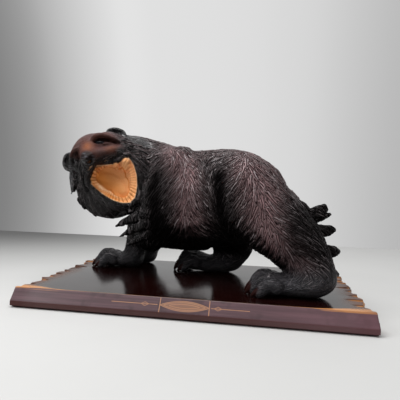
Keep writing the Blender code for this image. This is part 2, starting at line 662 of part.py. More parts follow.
def gouge_cutters(group):
    """Tapered cuts that run in from the ends, between the lobes, as one object."""
    form = bmesh.new()
    level = Matrix.Identity(3)
    pitch = TOP_DEPTH / LOBES
    for side in (-1, 1):
        for place in range(2 * LOBES - 1):
            between = place % 2 == 1
            y = -TOP_DEPTH / 2 + pitch * (0.5 + 0.5 * place)
            length = GOUGE_LENGTH * (1.0 if between else 0.5) * (1 + 0.25 * math.sin(3 * place + side))
            depth = GOUGE_DEPTH * (1.0 if between else 0.55)
            lean = 0.18 * math.sin(1.7 * place + 2 * side)
            outer = Vector((side * (BOARD_WIDTH / 2 + GOUGE_START), y, BOARD_THICK - depth * 0.6))
            inner = outer + Vector((-side * (length + GOUGE_START), lean * length, depth * 0.95))
            wide = Vector((0.004, GOUGE_WIDTH / 2, depth))
            point = Vector((0.002, 0.002, 0.001))
            add_hull(form, egg_points(outer / SHARE, wide / SHARE, level, 4, 8)
                     + egg_points(inner / SHARE, point / SHARE, level, 4, 8))
    mesh = bpy.data.meshes.new("end gouges")
    form.to_mesh(mesh)
    form.free()
    item = new_object("end gouges", mesh, group)
    item.hide_render = True
    item.display_type = "WIRE"
    return item


def build_base(parts, cutters):
    """The board: sloped bands in front and behind, and ends carved into lobes."""
    base = profile_object("base", board_profile(), BOARD_WIDTH + 4 * LOBE_REACH, "X", parts)
    outline = lobe_edge(-1) + list(reversed(lobe_edge(1)))
    plan = profile_object("board plan", outline, 4 * BOARD_THICK, "Z", cutters)
    plan.hide_render = True
    plan.display_type = "WIRE"
    keep = base.modifiers.new("Plan", "BOOLEAN")
    keep.operation = "INTERSECT"
    keep.solver = "EXACT"
    keep.object = plan
    bake_modifiers(base)
    base.data.shade_flat()
    cut(base, gouge_cutters(cutters))
    base.data.materials.clear()
    base.data.materials.append(wood("Lacquered wood", (0.045, 0.012, 0.008), 0.2))
    return base


def main():
    clear_scene()
    parts = new_collection("Carved bear")
    cutters = new_collection("Cutters", hidden=True)
    build_base(parts, cutters)
    build_bear(parts, cutters)


main()
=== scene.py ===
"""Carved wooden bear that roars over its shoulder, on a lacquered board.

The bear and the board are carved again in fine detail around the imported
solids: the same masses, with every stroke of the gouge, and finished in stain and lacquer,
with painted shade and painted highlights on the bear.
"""

import itertools
import math

import bmesh
import bpy
import numpy as np
from bpy.props import FloatProperty, FloatVectorProperty, IntProperty, PointerProperty
from mathutils import Matrix, Vector
from mathutils.kdtree import KDTree


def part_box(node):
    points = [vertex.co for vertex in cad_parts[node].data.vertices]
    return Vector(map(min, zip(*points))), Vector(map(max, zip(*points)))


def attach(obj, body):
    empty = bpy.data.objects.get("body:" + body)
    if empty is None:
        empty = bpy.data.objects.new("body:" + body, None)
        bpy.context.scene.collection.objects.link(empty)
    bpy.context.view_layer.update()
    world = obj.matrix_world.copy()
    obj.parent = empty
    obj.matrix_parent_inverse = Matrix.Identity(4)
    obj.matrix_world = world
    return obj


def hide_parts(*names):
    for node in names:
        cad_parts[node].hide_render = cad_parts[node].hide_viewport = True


bl_info = {
    "name": "Carved wooden bear",
    "version": (1, 0, 0),
    "blender": (4, 5, 0),
    "location": "3D View > Sidebar > Carving",
    "description": "Carves and finishes a roaring bear on a lacquered board",
    "category": "Object",
}

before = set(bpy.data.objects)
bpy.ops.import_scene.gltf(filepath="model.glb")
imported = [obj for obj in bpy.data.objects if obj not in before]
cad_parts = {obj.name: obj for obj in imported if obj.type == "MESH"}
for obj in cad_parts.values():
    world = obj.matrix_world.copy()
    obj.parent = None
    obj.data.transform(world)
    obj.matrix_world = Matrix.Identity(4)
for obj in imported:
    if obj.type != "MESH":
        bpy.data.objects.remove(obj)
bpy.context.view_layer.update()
BOARD_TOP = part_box("base")[1][2]

# Body that both pieces of wood ride on
BODY = "root"

# The bear is drawn in shares: its height is 31.5 of them, from the board's top
SHARES_HIGH = 31.5

# Gap between the soles and the board, in metres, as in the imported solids
REST_GAP = 0.0003

# Ellipsoids: up to which radius, in shares, how many rings and sides they get
EGG_DETAIL = ((0.7, 5, 8), (2.0, 6, 10), (math.inf, 9, 16))

# Turns of smoothing after the bodies are melted together: roughed-out bear, mouth, details
ROUGH_TURNS = 13
MOUTH_TURNS = 1
DETAIL_TURNS = 3

# Side of the cubes of space that points are sorted into, in metres, and how many fit in a row
CUBE_SIDE = 0.026
CUBES_IN_ROW = 4096

# Where a tuft's seed lies along it, and how far seeds are apart, in breadths of a tuft
TUFT_SEED = 0.4
SEED_GAP = 0.55

# Head: where its centre is, and which way it faces, in shares on the board's top
HEAD_CENTRE = Vector((-23.0, -0.2, 23.8))
HEAD_FORWARD = Vector((0.230, -0.970, 0.075)).normalized()
HEAD_LEFT = Vector((0.814, 0.234, 0.531)).normalized()
HEAD_UP = HEAD_FORWARD.cross(HEAD_LEFT).normalized()
HEAD_LEFT = HEAD_UP.cross(HEAD_FORWARD).normalized()

# Cuts in the gums in half a turn round the mouth
CUTS_ROUND_MOUTH = 21

# Middle of the open mouth, in shares from the head's centre: left, up
MOUTH_MIDDLE = (1.2, -6.0)

# The nostrils, from the head's centre, and the square of their radius, in shares
NOSTRILS = ((-1.55, 0.0), (-0.35, -0.75))
NOSTRIL_SPREAD = 0.16

# The two crests of fur, where it parts: height and place along the walk
CRESTS = (((14.4, -0.3), (19.3, 0.0), (22.5, 2.0), (25.4, 4.8), (27.4, 9.0)),
          ((2.1, -23.2), (6.8, -20.8), (12.0, -17.1), (17.9, -15.0), (24.9, -10.8), (27.0, -9.0)))
CREST_BREADTH = 4.2

# Heights between which each crest's worn colour sets in, and how far fur turns from a crest
CREST_FEET = ((7.0, 12.0), (3.0, 8.0))
FUR_TURN = 2.6

# Middle lines of the eyes, of the nose, and of the creases of the face, which are cut and darkened
# with painted shade
EYE_LINES = (((4.8, 2.0, 2.3), (4.6, 2.5, 2.1), (4.4, 2.9, 1.9)),
             ((4.3, -3.0, 2.0), (4.0, -3.6, 1.4)))
NOSE_LINES = (((8.0, -1.0, -0.2), (8.5, -1.0, -0.7)),)
CREASE_LINES = (((5.2, 0.9, 2.8), (4.9, 2.0, 3.0), (4.3, 3.3, 2.6), (3.6, 4.3, 1.9)),
                ((5.0, -2.2, 2.7), (4.3, -3.4, 2.4), (3.6, -4.2, 1.4)),
                ((4.9, -2.4, 1.6), (4.2, -3.5, 0.6), (3.0, -4.4, -1.0)),
                ((8.3, -1.9, 0.0), (6.6, -2.4, -1.0), (5.4, -2.6, -1.9)),
                ((8.3, 0.1, -0.6), (7.2, 0.6, -1.0), (6.4, 1.0, -1.3)))

# Deep hollows between the crests, darkened with painted shade: place along the walk, height, lean,
# half breadth, depth
HOLLOWS = ((8.8, 24.0, 0.17, 2.2, 1.0), (-3.6, 24.0, 0.05, 1.3, 0.60),
           (-7.0, 22.0, 0.10, 2.0, 1.0))

# The way the bear walks, seen from above
WALK_YAW = math.radians(155)
WALK = Vector((math.cos(WALK_YAW), math.sin(WALK_YAW), 0.0))

# Places on the head are given from its centre: forward, left, up, in shares

# Lower edge of the smooth face: left, up
FACE_EDGE = ((-5.0, 3.2), (-3.6, 1.6), (-2.4, 0.2), (-1.0, -1.3), (4.2, -1.9), (5.4, -0.6))

# The rim of the open mouth, and the edge of its floor, all the way round
MOUTH_RIM = ((7.2, -0.5, -1.9), (6.6, 0.4, -2.2), (6.0, 1.3, -2.5), (5.4, 2.2, -2.7),
             (4.9, 2.9, -2.7), (4.4, 3.7, -2.6), (3.9, 4.4, -2.5), (3.3, 5.2, -2.6),
             (2.8, 5.9, -3.0), (2.6, 6.1, -3.8), (2.6, 6.1, -5.1), (3.0, 5.6, -7.2),
             (3.6, 4.6, -9.2), (4.3, 2.9, -11.4), (4.6, 1.6, -11.8), (4.8, 0.2, -11.0),
             (4.8, -1.1, -9.6), (4.4, -2.4, -7.2), (3.6, -3.4, -4.3), (3.6, -3.2, -3.0),
             (4.6, -2.4, -2.0), (5.8, -1.5, -1.8))
MOUTH_FLOOR = ((3.2, -0.6, -2.6), (3.3, 0.9, -2.6), (3.0, 2.5, -3.0), (2.2, 3.9, -3.9),
               (2.0, 3.9, -4.9), (2.1, 3.3, -6.7), (2.6, 2.4, -8.8), (3.1, 0.8, -9.6),
               (2.9, -0.4, -6.8), (2.9, -1.6, -3.7))

# Inner and outer edge of the gums, from the left corner of the mouth round to the right
GUM_INNER = (*MOUTH_FLOOR[3:8], (3.0, 0.1, -8.2), *MOUTH_FLOOR[8:])
GUM_OUTER = (*MOUTH_RIM[9:13], MOUTH_RIM[14], *MOUTH_RIM[16:19])

# Middle line of the upper lip, from the left corner of the mouth round to the right
UPPER_LIP = ((2.5, 6.3, -2.6), (3.0, 5.2, -2.3), (3.6, 4.4, -2.4), (4.2, 3.7, -2.8),
             (4.7, 2.9, -2.6), (5.7, 1.3, -2.1), (6.9, -0.3, -1.5), (5.5, -1.2, -1.6),
             (4.4, -2.1, -1.9), (3.4, -3.5, -2.7), (3.2, -4.0, -4.0))

# Edge of the tongue as it is cut into the mouth's floor, all the way round: left, up
TONGUE_EDGE = ((-1.75, -3.42), (-0.79, -2.96), (0.81, -2.75), (1.98, -3.29), (2.55, -4.02),
               (3.69, -4.53), (3.32, -6.21), (2.79, -8.44), (2.46, -9.27), (1.14, -9.92),
               (0.4, -9.5), (-0.44, -7.34), (-1.52, -5.61), (-1.91, -4.22))

# How strongly the gums are cut: angle round the mouth, strength
GUM_CUTS = ((-3.14, 0.9), (-1.95, 0.9), (-1.65, 0.0), (-1.2, 0.4), (-0.6, 0.7), (-0.25, 0.9),
            (0.45, 1.0), (0.8, 0.45), (2.2, 0.45), (2.6, 0.05), (3.14, 0.3))

# Claws are listed as they are carved, so that they can be stained darker
CLAWS = []

# Depths of the finest cuts, in metres
CREASE_DEPTH = 0.0012
EAR_DEPTH = 0.0030
NOSTRIL_DEPTH = 0.0035
TEETH_DEPTH = 0.0006
TONGUE_LINE_DEPTH = 0.0022

EYE_STAIN = (0.004, 0.005, 0.008)

# The front band's pattern, in metres: its middle along the band and down it, the leaf, and
# the arrows, each with its two ends, the place of its diamond and half the diamond's length
PATTERN_MIDDLE = 0.0035
PATTERN_DROP = 0.0105
LEAF_HALF = 0.0405
LEAF_HEIGHT = 0.0068
ARROWS = ((-0.119, -0.041, -0.0620, 0.0075), (0.047, 0.108, 0.0580, 0.0065))

# Greys of the wall from left to right: dim on the left, brightest in the middle
WALL_SHADES = ((0.205, 0.22), (0.256, 0.445), (0.322, 0.73), (0.371, 0.745), (0.5, 0.71),
               (0.574, 0.63), (0.66, 0.48))

# Lights: name, place, side in metres, and power as a share of the key light's
LIGHTS = (("overhead", (-0.25, -0.15, 1.35), 1.1, 1.0), ("window", (-1.3, -0.9, 1.0), 0.7, 0.45))
LIGHTS_AIM = Vector((0, 0, 0.12))

# The camera, as it was fitted to the board's corners; its lens and sensor in millimetres
CAMERA_PLACE = Vector((0.1182, -0.7830, 0.1954))
CAMERA_AHEAD = Vector((-0.15565, 0.98781, -0.00354)).normalized()
CAMERA_RIGHT = Vector((0.98733, 0.15569, 0.03083))
LENS_LENGTH = 34.25
SENSOR_WIDTH = 36.0


class BearSettings(bpy.types.PropertyGroup):
    """Sizes and stains of the bear."""
    height: FloatProperty(
        name="Height", description="From the board's top to the top of the higher ear",
        default=0.315, unit="LENGTH")
    rough_grain: FloatProperty(
        name="Rough grain", description="Fineness of the roughed-out masses",
        default=0.0030, unit="LENGTH")
    fine_grain: FloatProperty(
        name="Fine grain", description="Fineness of the finished surface",
        default=0.00125, unit="LENGTH")
    faces: IntProperty(
        name="Triangles", description="Triangles of the finished bear", default=190000)
    tuft_length: FloatProperty(
        name="Tuft length", description="Length of an overlapping tuft",
        default=0.044, unit="LENGTH")
    tuft_width: FloatProperty(
        name="Tuft width", description="Width of an overlapping tuft",
        default=0.019, unit="LENGTH")
    tuft_rise: FloatProperty(
        name="Tuft rise", description="How far a tuft stands out", default=0.0030,
        unit="LENGTH")
    stroke_pitch: FloatProperty(
        name="Stroke pitch", description="Distance between two strokes of the gouge",
        default=0.0048, unit="LENGTH")
    stroke_depth: FloatProperty(
        name="Stroke depth", description="Depth of a stroke of the gouge",
        default=0.0013, unit="LENGTH")
    black_stain: FloatVectorProperty(
        name="Black stain", description="Stain in the hollows, on the belly and the legs",
        subtype="COLOR", default=(0.0060, 0.0050, 0.0050))
    # Brown of the crests where the stain is rubbed thin, paled and tinted purple-grey as painted
    # sheen of the lacquer
    warm_stain_and_sheen: FloatVectorProperty(
        name="Warm stain", description="Brown that shows where the stain is rubbed thin",
        subtype="COLOR", default=(0.310, 0.178, 0.184))
    # Painted highlight: pale grey on the strokes that catch the light most
    painted_hair_highlight: FloatVectorProperty(
        name="Pale hair", description="Stain of the strokes that stand out most",
        subtype="COLOR", default=(0.360, 0.310, 0.320))
    face_stain: FloatVectorProperty(
        name="Face stain", description="Red-brown of the smooth skull and snout",
        subtype="COLOR", default=(0.092, 0.032, 0.024))
    foot_stain: FloatVectorProperty(
        name="Foot stain", description="Grey-black of the feet", subtype="COLOR",
        default=(0.052, 0.050, 0.057))
    worn_wood: FloatVectorProperty(
        name="Worn wood", description="Orange where the stain is worn through",
        subtype="COLOR", default=(0.24, 0.070, 0.020))
    claw_stain: FloatVectorProperty(
        name="Claw stain", description="Dark red of the claws", subtype="COLOR",
        default=(0.022, 0.007, 0.006))
    bare_wood: FloatVectorProperty(
        name="Bare wood", description="Unstained wood of the open mouth",
        subtype="COLOR", default=(0.92, 0.46, 0.21))
    orange_wood: FloatVectorProperty(
        name="Orange wood", description="Darker wood of the cuts in the mouth",
        subtype="COLOR", default=(0.74, 0.26, 0.055))
    # Painted highlight: the palest wood, on the mouth's rim and on the smooth lump and wall on its
    # left
    highlight_wood: FloatVectorProperty(
        name="Cream wood", description="Palest wood, on the mouth's rim",
        subtype="COLOR", default=(0.95, 0.62, 0.37))


class BoardSettings(bpy.types.PropertyGroup):
    """Sizes and finishes of the board."""
    width: FloatProperty(
        name="Width", description="Along the front edge, corner to corner",
        default=0.600, unit="LENGTH")
    top_depth: FloatProperty(
        name="Depth of the top", description="Flat top, front to back",
        default=0.352, unit="LENGTH")
    band_run: FloatProperty(
        name="Band run", description="How far the sloped band stands out past the top",
        default=0.0145, unit="LENGTH")
    band_drop: FloatProperty(
        name="Band drop", description="Height of the sloped band", default=0.021,
        unit="LENGTH")
    grain: FloatProperty(
        name="Grain", description="Fineness of the carved ends", default=0.0016,
        unit="LENGTH")
    faces: IntProperty(
        name="Triangles", description="Triangles of the finished board", default=120000)
    lacquer: FloatVectorProperty(
        name="Lacquer", description="Dark lacquer of the top", subtype="COLOR",
        default=(0.0060, 0.0012, 0.0010))
    # Brown of the band, tinted purple as painted sheen of its lacquer
    band: FloatVectorProperty(
        name="Band", description="Brown of the sloped band", subtype="COLOR",
        default=(0.110, 0.056, 0.066))
    band_foot: FloatVectorProperty(
        name="Foot of the band", description="Redder brown under the sloped band",
        subtype="COLOR", default=(0.066, 0.018, 0.014))
    inlay: FloatVectorProperty(
        name="Inlay", description="Pale brown lines of the pattern on the front band",
        subtype="COLOR", default=(0.40, 0.20, 0.11))
    rough: FloatVectorProperty(
        name="Rough ends", description="Brown of the carved ends", subtype="COLOR",
        default=(0.085, 0.036, 0.022))
    bare: FloatVectorProperty(
        name="Bare wood", description="Orange where the lacquer is worn or cut away",
        subtype="COLOR", default=(0.50, 0.22, 0.075))


class StageSettings(bpy.types.PropertyGroup):
    """Floor and lights."""
    floor_size: FloatProperty(
        name="Floor", description="Side of the pale floor", default=12.0, unit="LENGTH")
    floor_colour: FloatVectorProperty(
        name="Floor colour", description="Pale grey of the floor", subtype="COLOR",
        default=(0.57, 0.57, 0.562))
    floor_end: FloatProperty(
        name="End of the floor", description="Distance of the wall behind the board's middle",
        default=1.0, unit="LENGTH")
    key_power: FloatProperty(
        name="Key light", description="Power of the broad light overhead, in watts",
        default=18.0)


# Forms made of hulls

def head_point(forward, left, up):
    """A place on the head, in shares, from the head's own directions."""
    return HEAD_CENTRE + HEAD_FORWARD * forward + HEAD_LEFT * left + HEAD_UP * up


def head_turn():
    """The head's own directions as a rotation."""
    return Matrix((HEAD_FORWARD, HEAD_LEFT, HEAD_UP)).transposed()


def egg_points(centre, radii, turn, rings=0, sides=0):
    """Points over an ellipsoid, more of them on a bigger one."""
    if not rings:
        rings, sides = next(row[1:] for row in EGG_DETAIL if max(radii) < row[0])
    points = []
    for ring in range(rings + 1):
        tilt = math.pi * ring / rings
        count = 1 if ring in (0, rings) else sides
        for side in range(count):
            around = 2 * math.pi * (side + 0.5 * (ring % 2)) / sides
            local = Vector((radii[0] * math.sin(tilt) * math.cos(around),
                            radii[1] * math.sin(tilt) * math.sin(around),
                            radii[2] * math.cos(tilt)))
            points.append(Vector(centre) + turn @ local)
    return points


def add_hull(form, points):
    """Adds the convex hull of some points to the form, as a closed body."""
    verts = [form.verts.new(point) for point in points]
    result = bmesh.ops.convex_hull(form, input=verts)
    loose = [v for v in result["geom_interior"] if isinstance(v, bmesh.types.BMVert)]
    loose += [v for v in result["geom_unused"] if isinstance(v, bmesh.types.BMVert)]
    bmesh.ops.delete(form, geom=list(set(loose)), context="VERTS")


def smooth_path(rows, steps):
    """Rows of numbers, with steps - 1 more between each two, on one smooth curve."""
    rows = np.array(rows, float)
    padded = np.vstack([2 * rows[0] - rows[1], rows, 2 * rows[-1] - rows[-2]])
    path = []
    for start in range(len(rows) - 1):
        a, b, c, d = padded[start:start + 4]
        for step in range(steps):
            t = step / steps
            path.append(0.5 * (2 * b + (c - a) * t + (2 * a - 5 * b + 4 * c - d) * t ** 2
                               + (3 * b - a - 3 * c + d) * t ** 3))
    path.append(rows[-1])
    return path


def add_limb(form, rows, steps=3, turn=None):
    """A limb: ellipsoids along a curve, hulled two by two.

    A row is x, y, z and one radius, or x, y, z and three radii, in shares.
    """
    turn = turn or Matrix.Identity(3)
    rows = [row if len(row) == 6 else (*row[:3], row[3], row[3], row[3]) for row in rows]
    path = smooth_path(rows, steps)
    eggs = [egg_points(row[:3], row[3:], turn) for row in path]
    for first, second in zip(eggs, eggs[1:]):
        add_hull(form, first + second)


def add_head_limb(form, rows, steps=3):
    """A limb in the head's own directions."""
    placed = [(*head_point(*row[:3]), *row[3:]) for row in rows]
    add_limb(form, placed, steps, head_turn())


def add_lock(form, root, tip, width, thick, rise=0.0, side=(0, 0, 1)):
    """A pointed lock of fur: broad and flat at the root, sharp at the tip."""
    root, tip = Vector(root), Vector(tip)
    along = (tip - root).normalized()
    across = along.cross(Vector(side)).normalized()
    normal = across.cross(along)
    turn = Matrix((along, across, normal)).transposed()
    middle = root.lerp(tip, 0.45) + normal * rise
    near_tip = root.lerp(tip, 0.8) + normal * rise * 0.6
    rows = ((root, 1.0), (middle, 0.60), (near_tip, 0.28), (tip, 0.07))
    eggs = [egg_points(place, (width * share * 0.6, width * share, thick * share), turn)
            for place, share in rows]
    for first, second in zip(eggs, eggs[1:]):
        add_hull(form, first + second)


# The bear's masses, in shares

def add_trunk(form):
    """Rump, barrel, shoulders and neck."""
    turn = Matrix.Rotation(WALK_YAW, 3, "Z")
    add_limb(form, (
        (12.4, -4.1, 16.2, 4.4, 6.6, 7.2),
        (8.2, -2.2, 16.9, 5.0, 7.4, 9.2),
        (3.0, 0.5, 16.5, 5.0, 7.0, 10.1),
        (-3.0, 3.5, 16.0, 5.0, 7.2, 10.6),
        (-7.5, 5.7, 16.6, 5.0, 7.4, 11.3),
        (-11.6, 8.2, 18.4, 5.0, 6.4, 10.9),
        (-14.9, 8.0, 21.4, 4.8, 5.6, 8.7),
        (-18.0, 5.4, 23.4, 4.8, 5.2, 7.0),
        (-21.5, 2.0, 24.4, 4.8, 5.8, 6.2),
    ), 3, turn)
    add_limb(form, ((-10.0, 7.8, 13.0, 5.8), (-14.2, 7.6, 15.5, 4.8),
                    (-16.4, 6.8, 18.5, 3.8)))
    add_limb(form, ((-9.4, 4.6, 8.4, 3.2), (-5.0, 4.4, 7.6, 2.6), (0.0, 3.4, 7.6, 2.4)))


def add_near_hind(form):
    """The left hind leg, stretched back, with the broad haunch."""
    add_limb(form, (
        (9.6, -4.9, 17.3, 5.8, 5.3, 7.4),
        (13.0, -6.3, 13.6, 6.2, 5.4, 6.6),
        (17.2, -7.7, 9.8, 5.4, 5.2, 5.2),
        (20.4, -9.1, 5.8, 4.1, 4.7, 4.3),
        (21.2, -10.2, 3.2, 4.1, 4.3, 3.2),
    ))
    add_limb(form, ((21.0, -10.6, 2.4, 3.4, 3.8, 2.4), (17.4, -10.4, 1.8, 3.0, 3.2, 1.8),
                    (14.0, -10.3, 2.0, 2.6, 3.2, 1.9)))


def add_far_hind(form):
    """The right hind leg, stepping forward under the belly."""
    add_limb(form, (
        (8.0, 2.5, 15.5, 5.3, 5.2, 7.0),
        (6.0, 5.2, 9.8, 4.9, 4.2, 5.0),
        (6.2, 6.6, 5.8, 4.4, 3.6, 3.0),
        (5.2, 7.4, 3.0, 3.4, 3.2, 2.8),
    ))
    add_limb(form, ((4.6, 7.7, 2.3, 3.0, 3.1, 2.3), (1.0, 7.5, 1.8, 2.6, 2.9, 1.8),
                    (-2.6, 7.4, 2.4, 2.4, 2.9, 2.2)))


def add_near_fore(form):
    """The left foreleg, stepping forward, with the shoulder's mass over it."""
    add_limb(form, ((-5.4, 2.0, 21.6, 5.4, 4.4, 5.8), (-8.0, 0.7, 17.0, 5.0, 3.8, 5.4),
                    (-10.4, 0.6, 12.2, 4.6, 3.8, 4.6), (-11.1, 1.8, 7.8, 3.1, 3.2, 3.2)))
    add_limb(form, ((-12.5, 4.6, 12.5, 4.2), (-14.9, 6.4, 10.0, 3.2),
                    (-16.0, 7.2, 6.0, 2.5), (-16.9, 7.4, 3.0, 2.4)))
    add_limb(form, ((-16.8, 7.3, 2.2, 2.3, 2.9, 2.2), (-20.0, 7.3, 1.6, 2.4, 3.0, 1.5),
                    (-22.8, 7.3, 1.9, 2.2, 3.1, 1.8)))


def add_far_fore(form):
    """The right foreleg, set back and in shadow."""
    add_limb(form, ((-9.0, 10.0, 15.0, 4.6), (-12.2, 12.4, 9.0, 3.4),
                    (-15.0, 13.6, 4.5, 2.6), (-15.4, 13.7, 2.4, 2.4)))
    add_limb(form, ((-15.2, 13.7, 2.1, 2.1, 2.7, 2.1), (-17.6, 13.9, 1.7, 2.0, 2.7, 1.7),
                    (-19.0, 14.0, 1.7, 1.8, 2.7, 1.6)))


def add_paws(form):
    """The toes and claws of all four feet."""
    add_toes(form, (13.6, -10.3), (-1.0, 0.10), 6.0, 3.1, 1.25)
    add_toes(form, (-3.2, 7.4), (-1.0, 0.05), 5.4, 3.6, 1.2)
    add_toes(form, (-22.7, 7.3), (-1.0, -0.06), 5.8, 2.9, 1.15)
    add_toes(form, (-19.2, 14.0), (-1.0, 0.15), 5.0, 2.0, 1.05)


# A toe: distance from its root, and shares of its height, thickness and breadth
TOE = ((0.0, 0.85, 1.0, 1.0), (1.1, 1.0, 0.95, 1.0), (2.3, 0.55, 0.80, 0.9),
       (2.8, 0.30, 0.55, 0.8))


def add_toes(form, root, ahead, spread, knuckle, size):
    """Five toes with hooked claws, side by side from one place on the foot."""
    toes = 5
    ahead = Vector((*ahead, 0)).normalized()
    across = Vector((-ahead.y, ahead.x, 0))
    for toe in range(toes):
        place = toe / (toes - 1) - 0.5
        back = 1.6 * (2 * place) ** 2
        base = Vector((*root, 0)) + across * (place * spread) - ahead * back
        fan = (ahead + across * place * 0.35).normalized()
        high = knuckle * (1 - 0.25 * (2 * place) ** 2)
        slim = 0.62 * spread / (toes - 1)
        add_limb(form, [
            (*(base + fan * out + Vector((0, 0, high * up))), size * thick, slim * wide,
             size * thick) for out, up, thick, wide in TOE])
        claw = ((*(base + fan * 2.2 + Vector((0, 0, high * 0.70))), 0.55),
                (*(base + fan * 3.2 + Vector((0, 0, high * 0.46))), 0.48),
                (*(base + fan * 3.9 + Vector((0, 0, 0.38))), 0.30))
        CLAWS.append([row[:3] for row in claw])
        add_limb(form, claw)


def add_skull(form):
    """Skull, snout, cheeks, ruff and lower jaw, before the mouth is cut."""
    add_head_limb(form, ((-3.8, 0.2, 0.5, 4.4, 5.2, 5.2), (-0.8, 0, 1.0, 4.8, 5.5, 5.4),
                         (1.8, -0.1, 0.9, 3.8, 5.0, 4.7)))
    # Bridge of the snout, then the upper jaw
    add_head_limb(form, ((2.8, -0.2, 2.2, 3.0, 3.4, 2.7), (5.2, -0.4, 1.3, 2.1, 2.2, 1.8),
                         (7.1, -0.6, 0.4, 1.5, 1.8, 1.4)))
    add_head_limb(form, ((1.2, 0.9, -0.8, 3.4, 5.6, 2.8), (4.0, 0.9, -0.9, 2.5, 4.5, 2.1),
                         (6.1, 0.0, -0.6, 1.8, 2.9, 1.7), (7.2, -0.5, -0.3, 1.4, 2.2, 1.5)))
    # Ruff of fur around the jaw
    add_head_limb(form, ((-3.0, 0.0, -2.4, 4.0, 7.6, 5.0), (-2.2, 0.0, -6.2, 4.2, 8.0, 5.4),
                         (-1.6, 0.2, -8.6, 3.8, 6.6, 4.4)))
    # Fur of the cheek that lies against the neck
    add_head_limb(form, ((-2.8, 6.6, -1.4, 3.0, 3.4, 3.6), (-2.2, 7.2, -5.4, 3.2, 3.4, 4.4),
                         (-1.6, 5.8, -9.2, 3.0, 3.4, 3.4)))
    # Lower jaw
    add_head_limb(form, ((1.0, 1.2, -3.8, 3.6, 6.0, 3.8), (1.6, 1.3, -7.2, 3.4, 5.4, 4.0),
                         (2.2, 1.1, -9.8, 2.8, 3.6, 3.0)))


def add_mouth_cutter(form):
    """The hollow between the jaws, the open space in front of it, and the eyes' sockets."""
    rim = [head_point(*place) for place in MOUTH_RIM]
    deep = [head_point(*place) for place in MOUTH_FLOOR]
    ahead = [place + HEAD_FORWARD * 6.0 for place in rim]
    add_hull(form, deep + rim)
    add_hull(form, rim + ahead)
    add_head_limb(form, ((5.5, 1.8, 2.5, 0.6), (5.0, 2.8, 2.1, 0.7), (4.5, 3.7, 1.7, 0.4)))
    add_head_limb(form, ((5.2, -2.7, 2.2, 0.6), (4.7, -3.6, 1.4, 0.7)))


def add_mouth_parts(form):
    """Tongue, gums and the long teeth."""
    add_head_limb(form, ((2.7, -0.6, -3.9, 0.4, 1.0, 0.8), (2.3, 0.0, -5.4, 0.5, 1.9, 1.5),
                         (2.4, 0.7, -7.2, 0.5, 1.7, 1.4), (2.9, 1.2, -8.9, 0.4, 1.0, 0.8)))
    # Gums, halfway up the slope from the mouth's floor to its rim
    ring = [(0.5 * (a + b) - 0.15, 0.5 * (c + d), 0.5 * (e + f), 0.45)
            for (a, c, e), (b, d, f) in zip(GUM_INNER, GUM_OUTER)]
    add_head_limb(form, ring)
    # Palate between the upper teeth and the corner of the mouth
    add_head_limb(form, ((3.0, 4.6, -3.6, 0.9, 1.2, 0.9), (2.6, 4.3, -4.6, 0.8, 1.0, 0.8)))
    # Long teeth of the upper jaw
    add_head_limb(form, ((4.6, 2.9, -3.3, 0.5), (4.0, 2.8, -3.9, 0.38), (3.6, 2.7, -4.5, 0.12)))
    add_head_limb(form, ((4.4, -1.3, -2.4, 0.45), (4.1, -1.2, -3.0, 0.35),
                         (3.9, -1.1, -3.6, 0.12)))


def add_ears(form):
    """Two ears: a thin back with a raised rim round it."""
    rims = (((4.3, 4.7), (5.1, 5.2), (6.2, 4.9), (7.1, 4.2), (7.7, 3.2), (7.6, 2.1), (7.2, 1.4)),
            ((-4.5, 4.8), (-5.3, 4.9), (-6.0, 4.5), (-6.7, 3.6), (-6.9, 2.7), (-6.7, 2.0),
             (-6.2, 1.5)))
    for rim in rims:
        back = []
        for left, up in rim:
            back += egg_points(head_point(-2.4, left * 0.96, up * 0.96), (0.6, 0.6, 0.6),
                               head_turn(), 4, 8)
        add_hull(form, back)
        add_head_limb(form, [(-1.5, left * 1.03, up * 1.03, 0.62) for left, up in rim])


def add_eyes(form):
    """Brows, eyes and cheekbones."""
    # Bear's left: brow, cheekbone, eye
    add_head_limb(form, ((5.2, 1.2, 3.0, 0.5), (5.0, 2.4, 3.5, 0.65), (4.3, 3.7, 3.1, 0.65),
                         (3.2, 4.9, 2.1, 0.6), (1.6, 5.8, 1.2, 0.5)))
    add_head_limb(form, ((4.7, 3.1, 1.3, 0.35), (3.9, 3.9, 1.0, 0.45), (2.6, 4.8, 0.2, 0.5),
                         (1.0, 5.6, -0.7, 0.45)))
    add_head_limb(form, ((4.8, 2.0, 2.3, 0.34), (4.6, 2.5, 2.1, 0.42), (4.4, 2.9, 1.9, 0.34)), 1)
    # Bear's right: brow, cheekbone, eye
    add_head_limb(form, ((5.2, -1.8, 2.9, 0.5), (4.7, -2.9, 3.0, 0.65), (3.8, -4.1, 2.3, 0.6),
                         (2.6, -4.8, 1.2, 0.5)))
    add_head_limb(form, ((4.8, -2.8, 0.7, 0.4), (3.7, -3.7, -0.4, 0.5), (2.1, -4.6, -2.0, 0.6),
                         (0.8, -5.2, -4.4, 0.6)))
    add_head_limb(form, ((4.3, -3.0, 2.0, 0.5), (4.0, -3.6, 1.4, 0.45)), 1)


def add_lips(form):
    """Nose, upper lips and the rim of the lower lip."""
    add_head_limb(form, ((7.7, -0.9, -0.1, 1.0, 1.5, 1.0), (8.4, -1.0, -0.5, 0.7, 1.2, 0.8)), 1)
    add_head_limb(form, [(*place, 0.6) for place in UPPER_LIP], 2)
    middle_left, middle_up = MOUTH_MIDDLE
    lower = [(f - 0.4, middle_left + (l - middle_left) * 1.07,
              middle_up + (u - middle_up) * 1.07, 0.55) for f, l, u in MOUTH_RIM[8:20]]
    add_head_limb(form, lower, 1)


